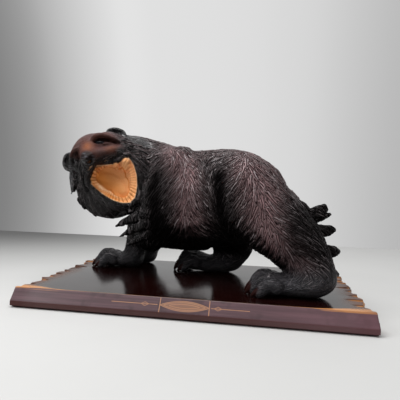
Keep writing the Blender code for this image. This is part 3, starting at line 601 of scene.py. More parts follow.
def add_mane_locks(form):
    """Locks of the mane that hang free in front of the near shoulder."""
    locks = (
        ((-13.4, -1.9, 13.9), (-18.0, -1.4, 12.1), 1.0),
        ((-12.4, -3.2, 12.4), (-18.1, -1.8, 9.9), 1.25),
        ((-10.6, -4.0, 10.9), (-17.1, -2.0, 7.8), 1.15),
        ((-10.0, -4.0, 9.0), (-15.7, -2.0, 5.8), 1.05),
    )
    for root, tip, width in locks:
        add_lock(form, root, tip, width, 0.7, rise=0.5, side=(0.2, -1, 0.3))


def add_fin(form, places, y, thick):
    """A broad lock with a blunt end: the hull of flat eggs at x, z places."""
    points = []
    for x, z, radius in places:
        broad = thick * (0.4 + 0.6 * radius / places[0][2])
        points += egg_points((x, y, z), (radius, broad, radius), Matrix.Identity(3))
    add_hull(form, points)


def add_haunch_locks(form):
    """Broad locks that stand out behind the near haunch, and a plainer row behind them."""
    # The haunch's edge, between the locks
    add_limb(form, (
        (17.6, -4.4, 16.2, 1.1, 1.5, 1.1), (19.6, -4.6, 14.6, 1.5, 1.5, 1.5),
        (20.9, -5.4, 11.6, 1.7, 1.5, 1.7), (21.8, -6.4, 8.6, 1.8, 1.5, 1.8),
        (22.6, -7.6, 5.6, 1.9, 1.5, 1.9), (22.8, -8.8, 2.8, 1.9, 1.5, 1.9)), 1)
    fins = (
        (-4.3, ((18.2, 14.9, 1.2), (19.7, 15.6, 0.5), (20.4, 14.9, 0.4))),
        (-5.2, ((20.4, 13.4, 1.3), (22.5, 15.1, 0.4), (23.6, 15.7, 0.3), (23.9, 15.0, 0.3))),
        (-5.4, ((20.8, 13.2, 1.2), (23.6, 13.9, 0.5), (24.6, 14.2, 0.15))),
        (-6.3, ((21.4, 10.8, 1.4), (24.6, 11.8, 0.3), (25.1, 11.4, 0.3), (24.2, 10.7, 0.3))),
        (-7.5, ((22.4, 7.2, 1.5), (25.2, 8.2, 0.3), (25.8, 7.7, 0.35), (25.0, 7.0, 0.3))),
        (-8.6, ((23.2, 3.6, 1.3), (24.9, 4.4, 0.4), (25.6, 3.8, 0.3))),
    )
    for y, places in fins:
        add_fin(form, places, y, 1.1)
    back = ((-2.0, ((17.6, 13.6, 1.5), (20.6, 14.6, 0.5))),
            (-2.6, ((18.4, 10.2, 1.5), (21.6, 10.8, 0.5))),
            (-4.0, ((19.6, 6.8, 1.5), (22.6, 7.2, 0.5))))
    for y, places in back:
        add_fin(form, places, y, 1.8)
    # Tail
    add_limb(form, ((15.6, -3.6, 17.6, 1.8), (17.8, -2.6, 16.4, 1.5), (18.6, -2.0, 14.6, 1.0)))


def add_ruff_locks(form):
    """Ragged edge of the ruff, on the cheeks and under the chin."""
    locks = (
        ((-2.2, -6.4, 0.6), (-1.8, -8.1, -0.7), 1.0),
        ((-2.0, -7.0, -1.0), (-1.8, -9.0, -3.1), 1.2),
        ((-1.8, -7.0, -5.2), (-1.6, -7.9, -7.4), 1.4),
        ((-1.6, -5.8, -8.0), (-1.4, -6.7, -10.0), 1.4),
        ((-1.6, -3.8, -10.2), (-1.6, -4.4, -11.3), 1.4),
        ((-1.6, -1.0, -11.0), (-1.8, -1.4, -12.2), 1.4),
        ((-2.6, 7.6, -0.6), (-4.0, 10.2, -2.6), 1.3),
        ((-2.4, 8.0, -3.6), (-3.6, 10.2, -6.2), 1.4),
        ((-2.2, 7.4, -6.8), (-3.0, 9.2, -9.6), 1.4),
        ((-1.8, 5.2, -10.2), (-2.4, 6.2, -12.6), 1.4),
        ((-1.6, 2.2, -11.6), (-2.0, 2.6, -13.8), 1.4),
    )
    for root, tip, width in locks:
        add_lock(form, head_point(*root), head_point(*tip), width, 1.0, side=HEAD_FORWARD)


# Shaping

def form_object(name, build_steps, share):
    """An object that holds the bodies added by some functions, drawn in shares."""
    form = bmesh.new()
    for step in build_steps:
        step(form)
    bmesh.ops.scale(form, vec=(share, share, share), verts=form.verts)
    return form_to_object(form, name)


def form_to_object(form, name):
    """Makes the form an object of the scene, and lets go of it."""
    mesh = bpy.data.meshes.new(name)
    form.to_mesh(mesh)
    form.free()
    return link_object(name, mesh)


def link_object(name, data):
    """Adds an object that holds a mesh, a lamp or a camera to the scene."""
    item = bpy.data.objects.new(name, data)
    bpy.context.scene.collection.objects.link(item)
    return item


def bake_modifiers(item):
    """Turns an object's modifiers into its mesh."""
    graph = bpy.context.evaluated_depsgraph_get()
    mesh = bpy.data.meshes.new_from_object(item.evaluated_get(graph))
    item.modifiers.clear()
    old = item.data
    item.data = mesh
    bpy.data.meshes.remove(old)


def remesh(item, grain, smooth_turns):
    """Melts the bodies of an object into one skin."""
    skin = item.modifiers.new("Skin", "REMESH")
    skin.mode = "VOXEL"
    skin.voxel_size = grain
    skin.adaptivity = 0.0
    soften = item.modifiers.new("Soften", "SMOOTH")
    soften.factor = 0.5
    soften.iterations = smooth_turns
    bake_modifiers(item)


def join_into(item, other):
    """Moves the bodies of another object into this one."""
    form = bmesh.new()
    form.from_mesh(item.data)
    form.from_mesh(other.data)
    form.to_mesh(item.data)
    form.free()
    bpy.data.objects.remove(other, do_unlink=True)


def cut(item, cutter, operation="DIFFERENCE"):
    """Cuts an object with a closed body, and removes that body."""
    slice_off = item.modifiers.new("Cut", "BOOLEAN")
    slice_off.operation = operation
    slice_off.solver = "EXACT"
    slice_off.object = cutter
    bake_modifiers(item)
    bpy.data.objects.remove(cutter, do_unlink=True)


def thin(item, faces, keep=None):
    """Thins a mesh to a number of triangles. What keep marks stays as fine as it is."""
    item.data.calc_loop_triangles()
    ratio = faces / len(item.data.loop_triangles)
    if ratio < 1:
        fewer = item.modifiers.new("Fewer", "DECIMATE")
        fewer.ratio = ratio
        if keep is not None:
            group = item.vertex_groups.new(name="may_thin")
            group.add(np.flatnonzero(~keep).tolist(), 1.0, "REPLACE")
            fewer.vertex_group = group.name
            fewer.vertex_group_factor = 100.0
        bake_modifiers(item)


# Carving the skin, point by point

def read_points(mesh, what):
    """Places or normals of a mesh's points as rows."""
    values = np.empty(len(mesh.vertices) * 3, np.float32)
    mesh.vertices.foreach_get(what, values)
    return values.reshape(-1, 3)


def write_points(mesh, places):
    """Moves the points of a mesh."""
    mesh.vertices.foreach_set("co", np.ascontiguousarray(places, np.float32).ravel())
    mesh.update()


def buckets(places, size):
    """Points sorted into cubes of space."""
    cells = np.floor(places / size).astype(np.int64)
    keys = cells @ np.array([1, CUBES_IN_ROW, CUBES_IN_ROW ** 2])
    order = np.argsort(keys, kind="stable")
    found, starts = np.unique(keys[order], return_index=True)
    groups = dict(zip(found.tolist(), np.split(order, starts[1:])))
    return keys, groups


def around_key(groups, key):
    """Points in the cubes around one cube."""
    found = []
    for x, y, z in itertools.product((-1, 0, 1), repeat=3):
        group = groups.get(key + x + y * CUBES_IN_ROW + z * CUBES_IN_ROW ** 2)
        if group is not None:
            found.append(group)
    return np.concatenate(found)


def ramp(values, low, high):
    """0 below low, 1 above high, smooth between."""
    part = np.clip((values - low) / (high - low), 0, 1)
    return part * part * (3 - 2 * part)


def head_local(places):
    """Places in shares from the head's centre: forward, left, up."""
    away = places - np.array(HEAD_CENTRE)
    return (away @ np.array(HEAD_FORWARD), away @ np.array(HEAD_LEFT), away @ np.array(HEAD_UP))


def crest_offs(ahead, high):
    """How far ahead of each crest places are, in breadths of the crest."""
    return [(ahead - np.interp(high, *zip(*crest))) / CREST_BREADTH for crest in CRESTS]


def fur_flow(places, normals):
    """The way the fur lies at places on the skin, along the skin."""
    walk = np.array(WALK)
    ahead = places @ walk
    high = places[:, 2]
    push = np.zeros(len(places))
    for off in crest_offs(ahead, high):
        wide = np.where(off > 0, off / 1.5, off)
        push += FUR_TURN * wide * np.exp(-wide ** 2)
    # Behind the haunch's crest it runs straight back, out to the edge
    push += FUR_TURN * np.minimum(off + 0.3, 0) * ramp(high, 3.0, 6.0)
    flow = np.outer(push - 0.25, walk)
    flow[:, 2] -= 1.0
    # On the feet it runs towards the toes
    on_foot = (1 - ramp(high, 2.5, 6.5))[:, None]
    flow = flow * (1 - on_foot) + np.array((-1.0, -0.1, -0.35)) * on_foot
    forward, left, up = head_local(places)
    distance = np.sqrt(forward ** 2 + left ** 2 + up ** 2)
    on_head = np.clip(1.7 - distance / 9.0, 0, 1)[:, None]
    # On the head it runs down both sides of the mouth and back from it
    wide = left - MOUTH_MIDDLE[0]
    tall = up - MOUTH_MIDDLE[1] - 1.0
    radius = np.sqrt(wide ** 2 + tall ** 2) + 0.001
    side = np.where(wide < 0, -1.0, 1.0)
    move_left = (0.9 * side * tall + 0.4 * wide) / radius
    move_up = (-0.9 * side * wide + 0.4 * tall) / radius
    turned = (np.outer(move_left, HEAD_LEFT) + np.outer(move_up, HEAD_UP)
              - 0.5 * np.array(HEAD_FORWARD))
    flow = flow * (1 - on_head) + turned * on_head
    flow -= normals * np.sum(flow * normals, axis=1, keepdims=True)
    flow /= np.linalg.norm(flow, axis=1, keepdims=True) + 0.001
    return flow.astype(np.float32)


def hull_planes(points):
    """The faces of a convex hull: outward normal and distance, in shares."""
    form = bmesh.new()
    add_hull(form, points)
    bmesh.ops.recalc_face_normals(form, faces=form.faces)
    planes = np.array([(*face.normal, face.normal.dot(face.verts[0].co)) for face in form.faces])
    form.free()
    return planes


def in_mouth(places):
    """How deep inside the mouth's hollow places are, in shares; below 0 outside it."""
    rim = [head_point(*place) for place in MOUTH_RIM]
    deep = [head_point(*place) for place in MOUTH_FLOOR]
    deeper = [place - HEAD_FORWARD * 1.0 for place in deep]
    ahead = [place + HEAD_FORWARD * 3.0 for place in rim]
    inside = np.full(len(places), -9.0)
    for points in (deeper + rim, rim + ahead):
        planes = hull_planes(points)
        depth = np.min(planes[:, 3] - places @ planes[:, :3].T, axis=1)
        inside = np.maximum(inside, depth)
    return inside


def mouth_ring(left, up):
    """Angle round the mouth from its chin, and reach: 0 at the tongue's edge, 1 at the rim."""
    across, high = left - MOUTH_MIDDLE[0], up - MOUTH_MIDDLE[1]
    angle = np.arctan2(across, -high)
    reach = np.hypot(across, high)
    edges = []
    for outline in (TONGUE_EDGE, [(l, u) for _, l, u in MOUTH_RIM]):
        rows = np.array([(math.atan2(l - MOUTH_MIDDLE[0], MOUTH_MIDDLE[1] - u),
                          math.hypot(l - MOUTH_MIDDLE[0], u - MOUTH_MIDDLE[1]))
                         for l, u in outline])
        edges.append(np.interp(angle, rows[:, 0], rows[:, 1], period=2 * math.pi))
    return angle, (reach - edges[0]) / (edges[1] - edges[0])


def line_distance(places, lines):
    """Distance in shares to the nearest of some broken lines."""
    nearest = np.full(len(places), 99.0)
    for line in lines:
        for first, second in zip(line, line[1:]):
            first, second = np.array(first), np.array(second)
            along = second - first
            part = np.clip((places - first) @ along / (along @ along), 0, 1)
            away = np.linalg.norm(places - first - part[:, None] * along, axis=1)
            nearest = np.minimum(nearest, away)
    return nearest


def head_line_distance(places, lines):
    """Distance in shares to the nearest of some broken lines on the head."""
    return line_distance(places, [[head_point(*place) for place in line] for line in lines])


def face_mask(forward, left, up):
    """1 on the smooth red-brown forehead, snout and near cheek."""
    low = np.interp(left, *zip(*FACE_EDGE))
    face = ramp(up - low, -0.3, 0.7) * ramp(forward, -1.6, 1.0)
    return face * (1 - ramp(np.sqrt(left ** 2 + (up - 1.0) ** 2), 5.6, 6.6))


def ear_mask(forward, left, up):
    """1 on the two ears."""
    outer = np.maximum(left + up - 8.4, 0.49 * up - 0.872 * left - 5.8)
    return ramp(outer, -0.2, 0.3) * (1 - ramp(np.abs(forward + 2.2), 1.6, 2.2))


def hollow_mask(places, normals):
    """1 in the deep hollows between the crests of fur, under the belly and low between the legs:
    where painted shade goes.
    """
    ahead = places @ np.array(WALK)
    high = places[:, 2]
    hollow = np.zeros(len(places))
    for along, top, lean, breadth, deep in HOLLOWS:
        off = (ahead - along + lean * (top - high)) / breadth
        hollow = np.maximum(hollow, deep * np.exp(-off ** 2))
    hollow *= ramp(high, 5.0, 9.0) * (1 - ramp(high, 20.0, 25.0))
    belly = (1 - ramp(normals[:, 2], -0.6, -0.1)) * ramp(high, 3.0, 5.0)
    under = (1 - ramp(high, 7.0, 11.5)) * ramp(high, 3.5, 5.5) * (1 - ramp(places[:, 0], 7.0, 12.0))
    under *= ramp(places[:, 0], -9.5, -6.0)
    return np.maximum.reduce([hollow, belly, under])


def raise_tufts(bear, share, sizes, strength):
    """Raises overlapping tufts of fur along the way the fur lies.

    Gives each point its place in its own tuft: strokes across, metres along, a number
    of its own. The strokes of the gouge follow these.
    """
    mesh = bear.data
    places = read_points(mesh, "co")
    normals = read_points(mesh, "normal")
    flow = fur_flow(places / share, normals)
    side = np.cross(normals, flow)
    keys, groups = buckets(places, CUBE_SIDE)
    taken = np.zeros(len(places), bool)
    best = np.full(len(places), -9.0, np.float32)
    rise = np.zeros(len(places), np.float32)
    hair = np.zeros((len(places), 3), np.float32)
    rng = np.random.default_rng(5)
    for seed in rng.permutation(len(places)):
        if taken[seed]:
            continue
        near = around_key(groups, keys[seed])
        away = places[near] - places[seed]
        size = rng.uniform(0.65, 1.15) * (0.7 + 0.3 * strength[seed])
        apart = np.sum(away ** 2, axis=1)
        taken[near[apart < (sizes.tuft_width * SEED_GAP * size) ** 2]] = True
        along = away @ flow[seed] / (sizes.tuft_length * size) + TUFT_SEED
        across = away @ side[seed] / (sizes.tuft_width * size / 2)
        across = across + rng.uniform(-0.3, 0.3) * (along - TUFT_SEED)
        off = np.abs(away @ normals[seed]) < sizes.tuft_width / 2
        body = np.clip(along / 0.7, 0, 1) ** 0.8 * np.clip((1 - along) / 0.2, 0, 1)
        narrow = np.clip(1 - 0.85 * np.clip(along, 0, 1), 0.1, 1)
        lens = np.sqrt(np.clip(1 - (across / narrow) ** 2, 0, 1))
        height = (rng.uniform(0.6, 1.0) * body * lens * off).astype(np.float32)
        score = height - 8 * apart - 0.5 * ~off
        wins = score > best[near]
        chosen = near[wins]
        best[chosen] = score[wins]
        number = rng.uniform(0, 1)
        pitch = sizes.stroke_pitch * rng.uniform(0.75, 1.25) * (0.5 + 0.5 * strength[seed])
        spread = across * (sizes.tuft_width * size / 2) / (1 - 0.4 * np.clip(along, 0, 1))
        length = along * sizes.tuft_length * size
        strokes = spread / pitch + 0.25 * np.sin(length / 0.009 + 19 * number) + number
        hair[chosen] = np.column_stack([strokes, length, np.full(len(near), number)])[wins]
        rise[near] = np.maximum(rise[near], height)
    rise *= strength
    write_points(mesh, places + normals * (rise * sizes.tuft_rise)[:, None])
    return hair


class Skin:
    """The bear's skin in shares, with masks of its parts: 1 on a part, 0 off it."""

    def __init__(self, places):
        self.places = places
        self.head = head_local(places)
        forward, left, up = self.head
        distance = np.sqrt(forward ** 2 + left ** 2 + up ** 2)
        self.near_head = 1 - ramp(distance, 11.0, 14.0)
        self.face = self.near_head * face_mask(forward, left, up)
        self.jaw = self.near_head * ramp(forward, -2.0, 0.5) * (1 - ramp(left, 6.4, 7.6))
        self.ear = self.near_head * ear_mask(forward, left, up)
        self.bare = np.where(distance < 15, ramp(in_mouth(places), -0.04, 0.06), 0)
        self.bare *= ramp(head_line_distance(places, (UPPER_LIP,)), 0.62, 0.78)
        self.claw = 1 - ramp(line_distance(places, CLAWS), 0.50, 0.70)
        self.eye = 1 - ramp(head_line_distance(places, EYE_LINES), 0.36, 0.46)
        self.nose = 1 - ramp(head_line_distance(places, NOSE_LINES), 1.1, 1.5)
        self.crease = 1 - ramp(head_line_distance(places, CREASE_LINES), 0.12, 0.60)
        self.low = 1 - ramp(places[:, 2], 2.0, 7.0)
        self.smooth = np.maximum.reduce([0.7 * self.face, self.bare, self.claw, self.eye,
                                         self.nose])


def carve_fur(bear, share, sizes):
    """Cuts the strokes of the gouge. Gives the masks that the stain, the painted shade and the
    painted highlights follow.
    """
    mesh = bear.data
    skin = Skin(read_points(mesh, "co") / share)
    forward, left, up = skin.head
    strength = (1 - skin.smooth) * (1 - skin.face) * (1 - skin.ear)
    strength = strength * (1 - 0.75 * skin.jaw) * (1 - 0.7 * skin.low)
    hair = raise_tufts(bear, share, sizes, strength)
    places = read_points(mesh, "co")
    normals = read_points(mesh, "normal")
    groove = 1 - np.abs(np.sin(math.pi * hair[:, 0])) ** 0.8
    depth = (1 - skin.smooth) * (1 - 0.35 * skin.jaw)
    depth = depth * (1 - 0.4 * skin.low) * (1 - 0.5 * skin.ear)
    ring = mouth_ring(left, up)
    push = -sizes.stroke_depth * depth * groove
    push -= skin.bare * mouth_relief(*ring)
    push -= nostril_relief(forward, left, up)
    push -= CREASE_DEPTH * skin.crease * (1 - skin.bare)
    push -= EAR_DEPTH * skin.ear * (1 - ramp(np.abs(forward + 1.2), 0.6, 1.0))
    write_points(mesh, places + normals * push[:, None])
    return {"hair": hair, "depth": depth * (1 - skin.bare), **stain_and_painted_light_masks(skin, normals, ring)}


def stain_and_painted_light_masks(skin, normals, ring):
    """The masks that the stain, the painted shade and the painted highlights follow, by name."""
    forward, left, up = skin.head
    near_head, bare = skin.near_head, skin.bare
    ahead = skin.places @ np.array(WALK)
    high = skin.places[:, 2]
    # Rubbed thin on the two crests, but not on the haunch's edge; along the back, on the surfaces
    # that face up, the brown is painted light from above
    crest = np.zeros(len(high))
    for off, feet in zip(crest_offs(ahead, high), CREST_FEET):
        crest = np.maximum(crest, np.exp(-(off * 1.2) ** 2) * ramp(high, *feet))
    crest *= 1 - 0.4 * ramp(normals[:, 2], 0.5, 0.95)
    back = ramp(normals[:, 2], 0.25, 0.85) * ramp(high, 16.0, 24.0)
    edge = ramp(-ahead, 17.0, 22.0) * ramp(high, 4.0, 8.0)
    warm = np.maximum(crest * (1 - near_head), 0.32 * back) * (1 - 0.75 * edge)
    # Worn through between the eyes, and a little under the near one
    spot = np.exp(-((left - 0.1) ** 2 / 1.0 + (up - 1.9) ** 2 / 1.2)) * ramp(forward, 4.0, 5.0)
    flush = np.exp(-((left - 3.9) ** 2 / 1.6 + (up + 0.2) ** 2 / 0.6)) * ramp(forward, 1.5, 3.0)
    # Painted shade: in the hollows between the crests, under the belly, between the legs, in the
    # face's creases and on the haunch's far edge; on the nose it only adds to its black paint
    shade = np.maximum(hollow_mask(skin.places, normals) * (1 - near_head), 0.75 * skin.crease)
    shade = np.maximum.reduce([shade, skin.nose * 0.5, 0.65 * edge]) * (1 - bare)
    orange, cream, cuts = mouth_wood_and_highlight(*ring, left - MOUTH_MIDDLE[0])
    return {"warm": np.clip(warm, 0, 1), "bare": bare, "face": skin.face * (1 - skin.ear),
            "claw": skin.claw, "eye": skin.eye, "worn": np.maximum(spot, 0.6 * flush),
            "shade": shade, "black": np.maximum(skin.nose, skin.ear), "orange": orange,
            "cream": cream, "cuts": cuts, "angle": ring[0],
            "low": skin.low * (1 - near_head) * (1 - 0.7 * crest)}


def mouth_wood_and_highlight(angle, reach, across):
    """The mouth's bare wood: where it is orange, where it gets a pale painted highlight, and how
    strongly cut.
    """
    orange = np.clip(0.55 - 0.20 * across, 0, 1) * (1 - 0.5 * ramp(reach, 0.02, 0.25))
    orange = np.maximum(orange, 1.3 * np.exp(-((reach - 0.02) / 0.05) ** 2))
    left_wall = ramp(angle, -2.0, -1.7) * (1 - ramp(angle, -0.45, -0.25))
    orange = np.maximum(orange, 0.8 * left_wall * np.exp(-((reach - 0.62) / 0.10) ** 2))
    low_gum = np.exp(-((angle + 0.65) / 0.55) ** 2 - ((reach - 0.62) / 0.22) ** 2)
    orange = np.maximum(orange, low_gum)
    # Pale painted highlight on the rim, on the smooth lump and on the left wall
    cream = ramp(reach, 0.80, 0.95)
    smooth_lump = np.exp(-((angle + 1.55) / 0.35) ** 2 - ((reach - 0.35) / 0.25) ** 2)
    cream = np.maximum(cream, smooth_lump)
    cream = np.maximum(cream, 0.7 * left_wall * np.exp(-((reach - 0.28) / 0.10) ** 2))
    cuts = np.interp(angle, *zip(*GUM_CUTS))
    cuts = cuts * ramp(reach, 0.08, 0.18) * (1 - ramp(reach, 0.80, 0.92))
    return np.clip(orange, 0, 1), cream, cuts


def mouth_relief(angle, reach):
    """Cuts in the bare wood of the mouth, in metres: teeth and a line round the tongue."""
    gum = ramp(reach, 0.10, 0.22) * (1 - ramp(reach, 0.85, 0.95))
    teeth = np.abs(np.sin(angle * CUTS_ROUND_MOUTH))
    line = np.exp(-((reach - 0.02) / 0.06) ** 2)
    return TEETH_DEPTH * gum * (1 - teeth ** 0.6) + TONGUE_LINE_DEPTH * line


def nostril_relief(forward, left, up):
    """How deep the nostrils are cut, in metres."""
    depth = np.zeros(len(left))
    for side, high in NOSTRILS:
        away = ((left - side) ** 2 + (up - high) ** 2) / NOSTRIL_SPREAD
        depth += NOSTRIL_DEPTH * np.exp(-away)
    return depth * ramp(forward, 7.0, 7.8)


def keep_masks(bear, before, masks):
    """Puts the masks on the thinned mesh, each point's from the nearest point before."""
    tree = KDTree(len(before))
    for index, place in enumerate(before.tolist()):
        tree.insert(place, index)
    tree.balance()
    mesh = bear.data
    nearest = np.array([tree.find(vertex.co)[1] for vertex in mesh.vertices])
    for name, values in masks.items():
        kind, key = ("FLOAT_VECTOR", "vector") if values.ndim == 2 else ("FLOAT", "value")
        layer = mesh.attributes.new(name, kind, "POINT")
        layer.data.foreach_set(key, np.ascontiguousarray(values[nearest], np.float32).ravel())


def carve_bear(sizes):
    """The bear, carved from one block."""
    share = sizes.height / SHARES_HIGH
    CLAWS.clear()
    bear = form_object("bear_carving", (add_trunk, add_near_hind, add_far_hind, add_near_fore,
                                        add_far_fore, add_skull), share)
    remesh(bear, sizes.rough_grain, ROUGH_TURNS)
    mouth = form_object("mouth_hollow", (add_mouth_cutter,), share)
    remesh(mouth, sizes.rough_grain, MOUTH_TURNS)
    cut(bear, mouth)
    details = form_object("details", (add_paws, add_ears, add_eyes, add_lips,
                                      add_mouth_parts, add_mane_locks, add_haunch_locks,
                                      add_ruff_locks), share)
    join_into(bear, details)
    remesh(bear, sizes.fine_grain, DETAIL_TURNS)
    masks = carve_fur(bear, share, sizes)
    before = read_points(bear.data, "co")
    before[:, 2] = np.maximum(before[:, 2], REST_GAP)
    write_points(bear.data, before)
    # The mouth and the eyes stay fine
    thin(bear, sizes.faces, np.maximum(masks["bare"], masks["eye"]) > 0.3)
    keep_masks(bear, before, masks)
    places = read_points(bear.data, "co")
    places[:, 2] += BOARD_TOP
    write_points(bear.data, places)
    bear.data.shade_smooth()
    return bear


# The board

def loft(name, outline, length, axis):
    """A flat outline made solid by a length, centred, along X or Z."""
    form = bmesh.new()
    ends = []
    for end in (-length / 2, length / 2):
        places = [(end, a, b) if axis == "X" else (a, b, end) for a, b in outline]
        ends.append([form.verts.new(place) for place in places])
        form.faces.new(ends[-1])
    near, far = ends
    for index in range(len(outline)):
        form.faces.new((near[index - 1], near[index], far[index], far[index - 1]))
    bmesh.ops.recalc_face_normals(form, faces=form.faces)
    return form_to_object(form, name)


# Length and height of the blanks that the board is cut from, in metres
BLANK_LENGTH = 0.70
BLANK_HEIGHT = 0.2

# Cuts at the board's ends, in metres: least and most length, depth and half breadth
LONG_CUTS = ((0.036, 0.060), (0.010, 0.014), (0.008, 0.011))
SHORT_CUTS = ((0.008, 0.024), (0.003, 0.007), (0.005, 0.009))

# Upright cuts down each end, and the fineness of all the cuts in metres
UPRIGHT_CUTS = 26
CUT_GRAIN = 0.0012

# Outline of both ends from above, in centimetres, for a top 60 cm wide and 35.2 cm deep
PLAN_WIDTH = 60.0
PLAN_DEPTH = 35.2
LEFT_EDGE = ((-30.0, -19.4), (-29.9, -16.2), (-29.5, -14.6), (-28.6, -12.2), (-28.7, -11.4),
             (-30.7, -8.2), (-30.4, -7.0), (-30.3, -5.2), (-30.8, -3.4), (-29.3, -2.8),
             (-29.4, -1.8), (-30.4, 0.7), (-30.1, 3.0), (-30.3, 4.8), (-29.5, 7.3),
             (-29.5, 8.1), (-31.2, 11.0), (-31.0, 13.6), (-30.2, 16.0), (-30.2, 19.4))
RIGHT_EDGE = ((30.0, -19.4), (29.8, -16.6), (29.7, -15.5), (28.8, -14.3), (28.9, -12.6),
              (30.2, -9.6), (29.9, -8.0), (30.2, -6.4), (28.9, -5.6), (28.8, -4.2),
              (30.2, -0.4), (30.0, 1.6), (30.4, 3.6), (29.4, 5.3), (29.3, 7.2),
              (30.6, 9.4), (29.6, 11.6), (31.0, 13.2), (30.4, 15.8), (30.0, 19.4))


def board_plan(sizes):
    """The board's outline from above, with its carved lobes: x, y."""
    wide, deep = sizes.width / PLAN_WIDTH, sizes.top_depth / PLAN_DEPTH
    return [(x * wide, y * deep) for x, y in (*RIGHT_EDGE, *reversed(LEFT_EDGE))]


def board_section(sizes):
    """The board's section, seen from its end: y, z."""
    half = sizes.top_depth / 2
    foot = half + sizes.band_run
    slope_foot = BOARD_TOP - sizes.band_drop
    inset, step = 0.005, 0.0025
    right = ((half, BOARD_TOP), (foot, slope_foot), (foot, step), (foot - inset, step),
             (foot - inset, 0))
    return list(right) + [(-y, z) for y, z in reversed(right)]


def end_gouges(sizes):
    """Gouge cuts that run in from both ends of the board, as one object."""
    form = bmesh.new()
    rng = np.random.default_rng(21)
    for side in (-1, 1):
        y = -sizes.top_depth / 2 + 0.012
        place = 0
        while y < sizes.top_depth / 2 - 0.008:
            # Every third cut is a long one
            ranges = LONG_CUTS if place % 3 == 2 else SHORT_CUTS
            length, depth, breadth = [rng.uniform(*limits) for limits in ranges]
            lean = rng.uniform(-0.3, 0.3)
            outer = Vector((side * (sizes.width / 2 + 0.016), y, BOARD_TOP + depth * 0.1))
            inner = outer + Vector((-side * (length + 0.016), lean * length, depth * 0.45))
            points = egg_points(outer, (0.006, breadth, depth), Matrix.Identity(3), 8, 12)
            points += egg_points(inner, (0.003, 0.003, 0.002), Matrix.Identity(3), 8, 12)
            add_hull(form, points)
            y += breadth * rng.uniform(1.1, 1.7)
            place += 1
        # Upright cuts down the end faces
        for _ in range(UPRIGHT_CUTS):
            y = rng.uniform(-0.9, 0.9) * sizes.top_depth / 2
            radius = rng.uniform(0.004, 0.009)
            out = side * (sizes.width / 2 + radius * rng.uniform(0.55, 1.1))
            low = Vector((out, y, -0.01))
            high = Vector((out - side * 0.004, y + rng.uniform(-0.006, 0.006), 0.045))
            points = egg_points(low, (radius, radius, 0.003), Matrix.Identity(3), 6, 12)
            points += egg_points(high, (radius, radius, 0.003), Matrix.Identity(3), 6, 12)
            add_hull(form, points)
    item = form_to_object(form, "end_gouges")
    remesh(item, CUT_GRAIN, 0)
    return item


def carve_board(sizes):
    """The board: sloped bands in front and behind, and ends cut into lobes."""
    board = loft("board", board_section(sizes), BLANK_LENGTH, "X")
    cut(board, loft("plan", board_plan(sizes), BLANK_HEIGHT, "Z"), "INTERSECT")
    cut(board, end_gouges(sizes))
    remesh(board, sizes.grain, 2)
    thin(board, sizes.faces)
    board.data.shade_smooth()
    steady = board.modifiers.new("Steady", "WEIGHTED_NORMAL")
    steady.mode = "FACE_AREA"
    steady.weight = 50
    bake_modifiers(board)
    return board


# Finishes

def shaded(colour, share):
    """A colour made darker or paler."""
    return [channel * share for channel in colour]


class Nodes:
    """A tree of shader nodes. A value is a plain number, a plain colour or an output."""

    def __init__(self, tree):
        self.tree = tree

    def put(self, value, socket):
        """Gives a value to an input."""
        if hasattr(value, "is_linked"):
            self.tree.links.new(value, socket)
        elif isinstance(value, (int, float)):
            socket.default_value = value
        else:
            socket.default_value = (*value, 1.0)[:len(socket.default_value)]

    def node(self, kind, inputs=None, **settings):
        """Adds a node, sets it and fills its inputs."""
        node = self.tree.nodes.new(kind)
        for name, value in settings.items():
            setattr(node, name, value)
        for name, value in (inputs or {}).items():
            self.put(value, node.inputs[name])
        return node

    def split(self, source):
        """The three numbers of a vector."""
        node = self.node("ShaderNodeSeparateXYZ", {"Vector": source})
        return [node.outputs[name] for name in "XYZ"]

    def join(self, *numbers):
        """A vector of up to three numbers."""
        node = self.node("ShaderNodeCombineXYZ", dict(enumerate(numbers)))
        return node.outputs["Vector"]

    def fit(self, source, low, high, to_low=0.0, to_high=1.0):
        """A number moved from one range to another, smoothly."""
        inputs = {"Value": source, "From Min": low, "From Max": high,
                  "To Min": to_low, "To Max": to_high}
        node = self.node("ShaderNodeMapRange", inputs, interpolation_type="SMOOTHSTEP")
        return node.outputs["Result"]

    def math(self, operation, *values):
        """Numbers joined one after the other by an operation."""
        result = values[0]
        for value in values[1:]:
            node = self.node("ShaderNodeMath", {0: result, 1: value}, operation=operation)
            result = node.outputs["Value"]
        return result

    def plus(self, *values):
        """Numbers added up."""
        return self.math("ADD", *values)

    def less(self, *values):
        """The first number less the others."""
        return self.math("SUBTRACT", *values)

    def times(self, *values):
        """Numbers multiplied."""
        return self.math("MULTIPLY", *values)

    def over(self, *values):
        """The first number divided by the other."""
        return self.math("DIVIDE", *values)

    def most(self, *values):
        """The greatest of some numbers."""
        return self.math("MAXIMUM", *values)

    def size(self, value):
        """A number without its sign."""
        return self.math("ABSOLUTE", value, 0.0)

    def wave(self, value):
        """How far a sine is from 0."""
        return self.size(self.math("SINE", value, 0.0))


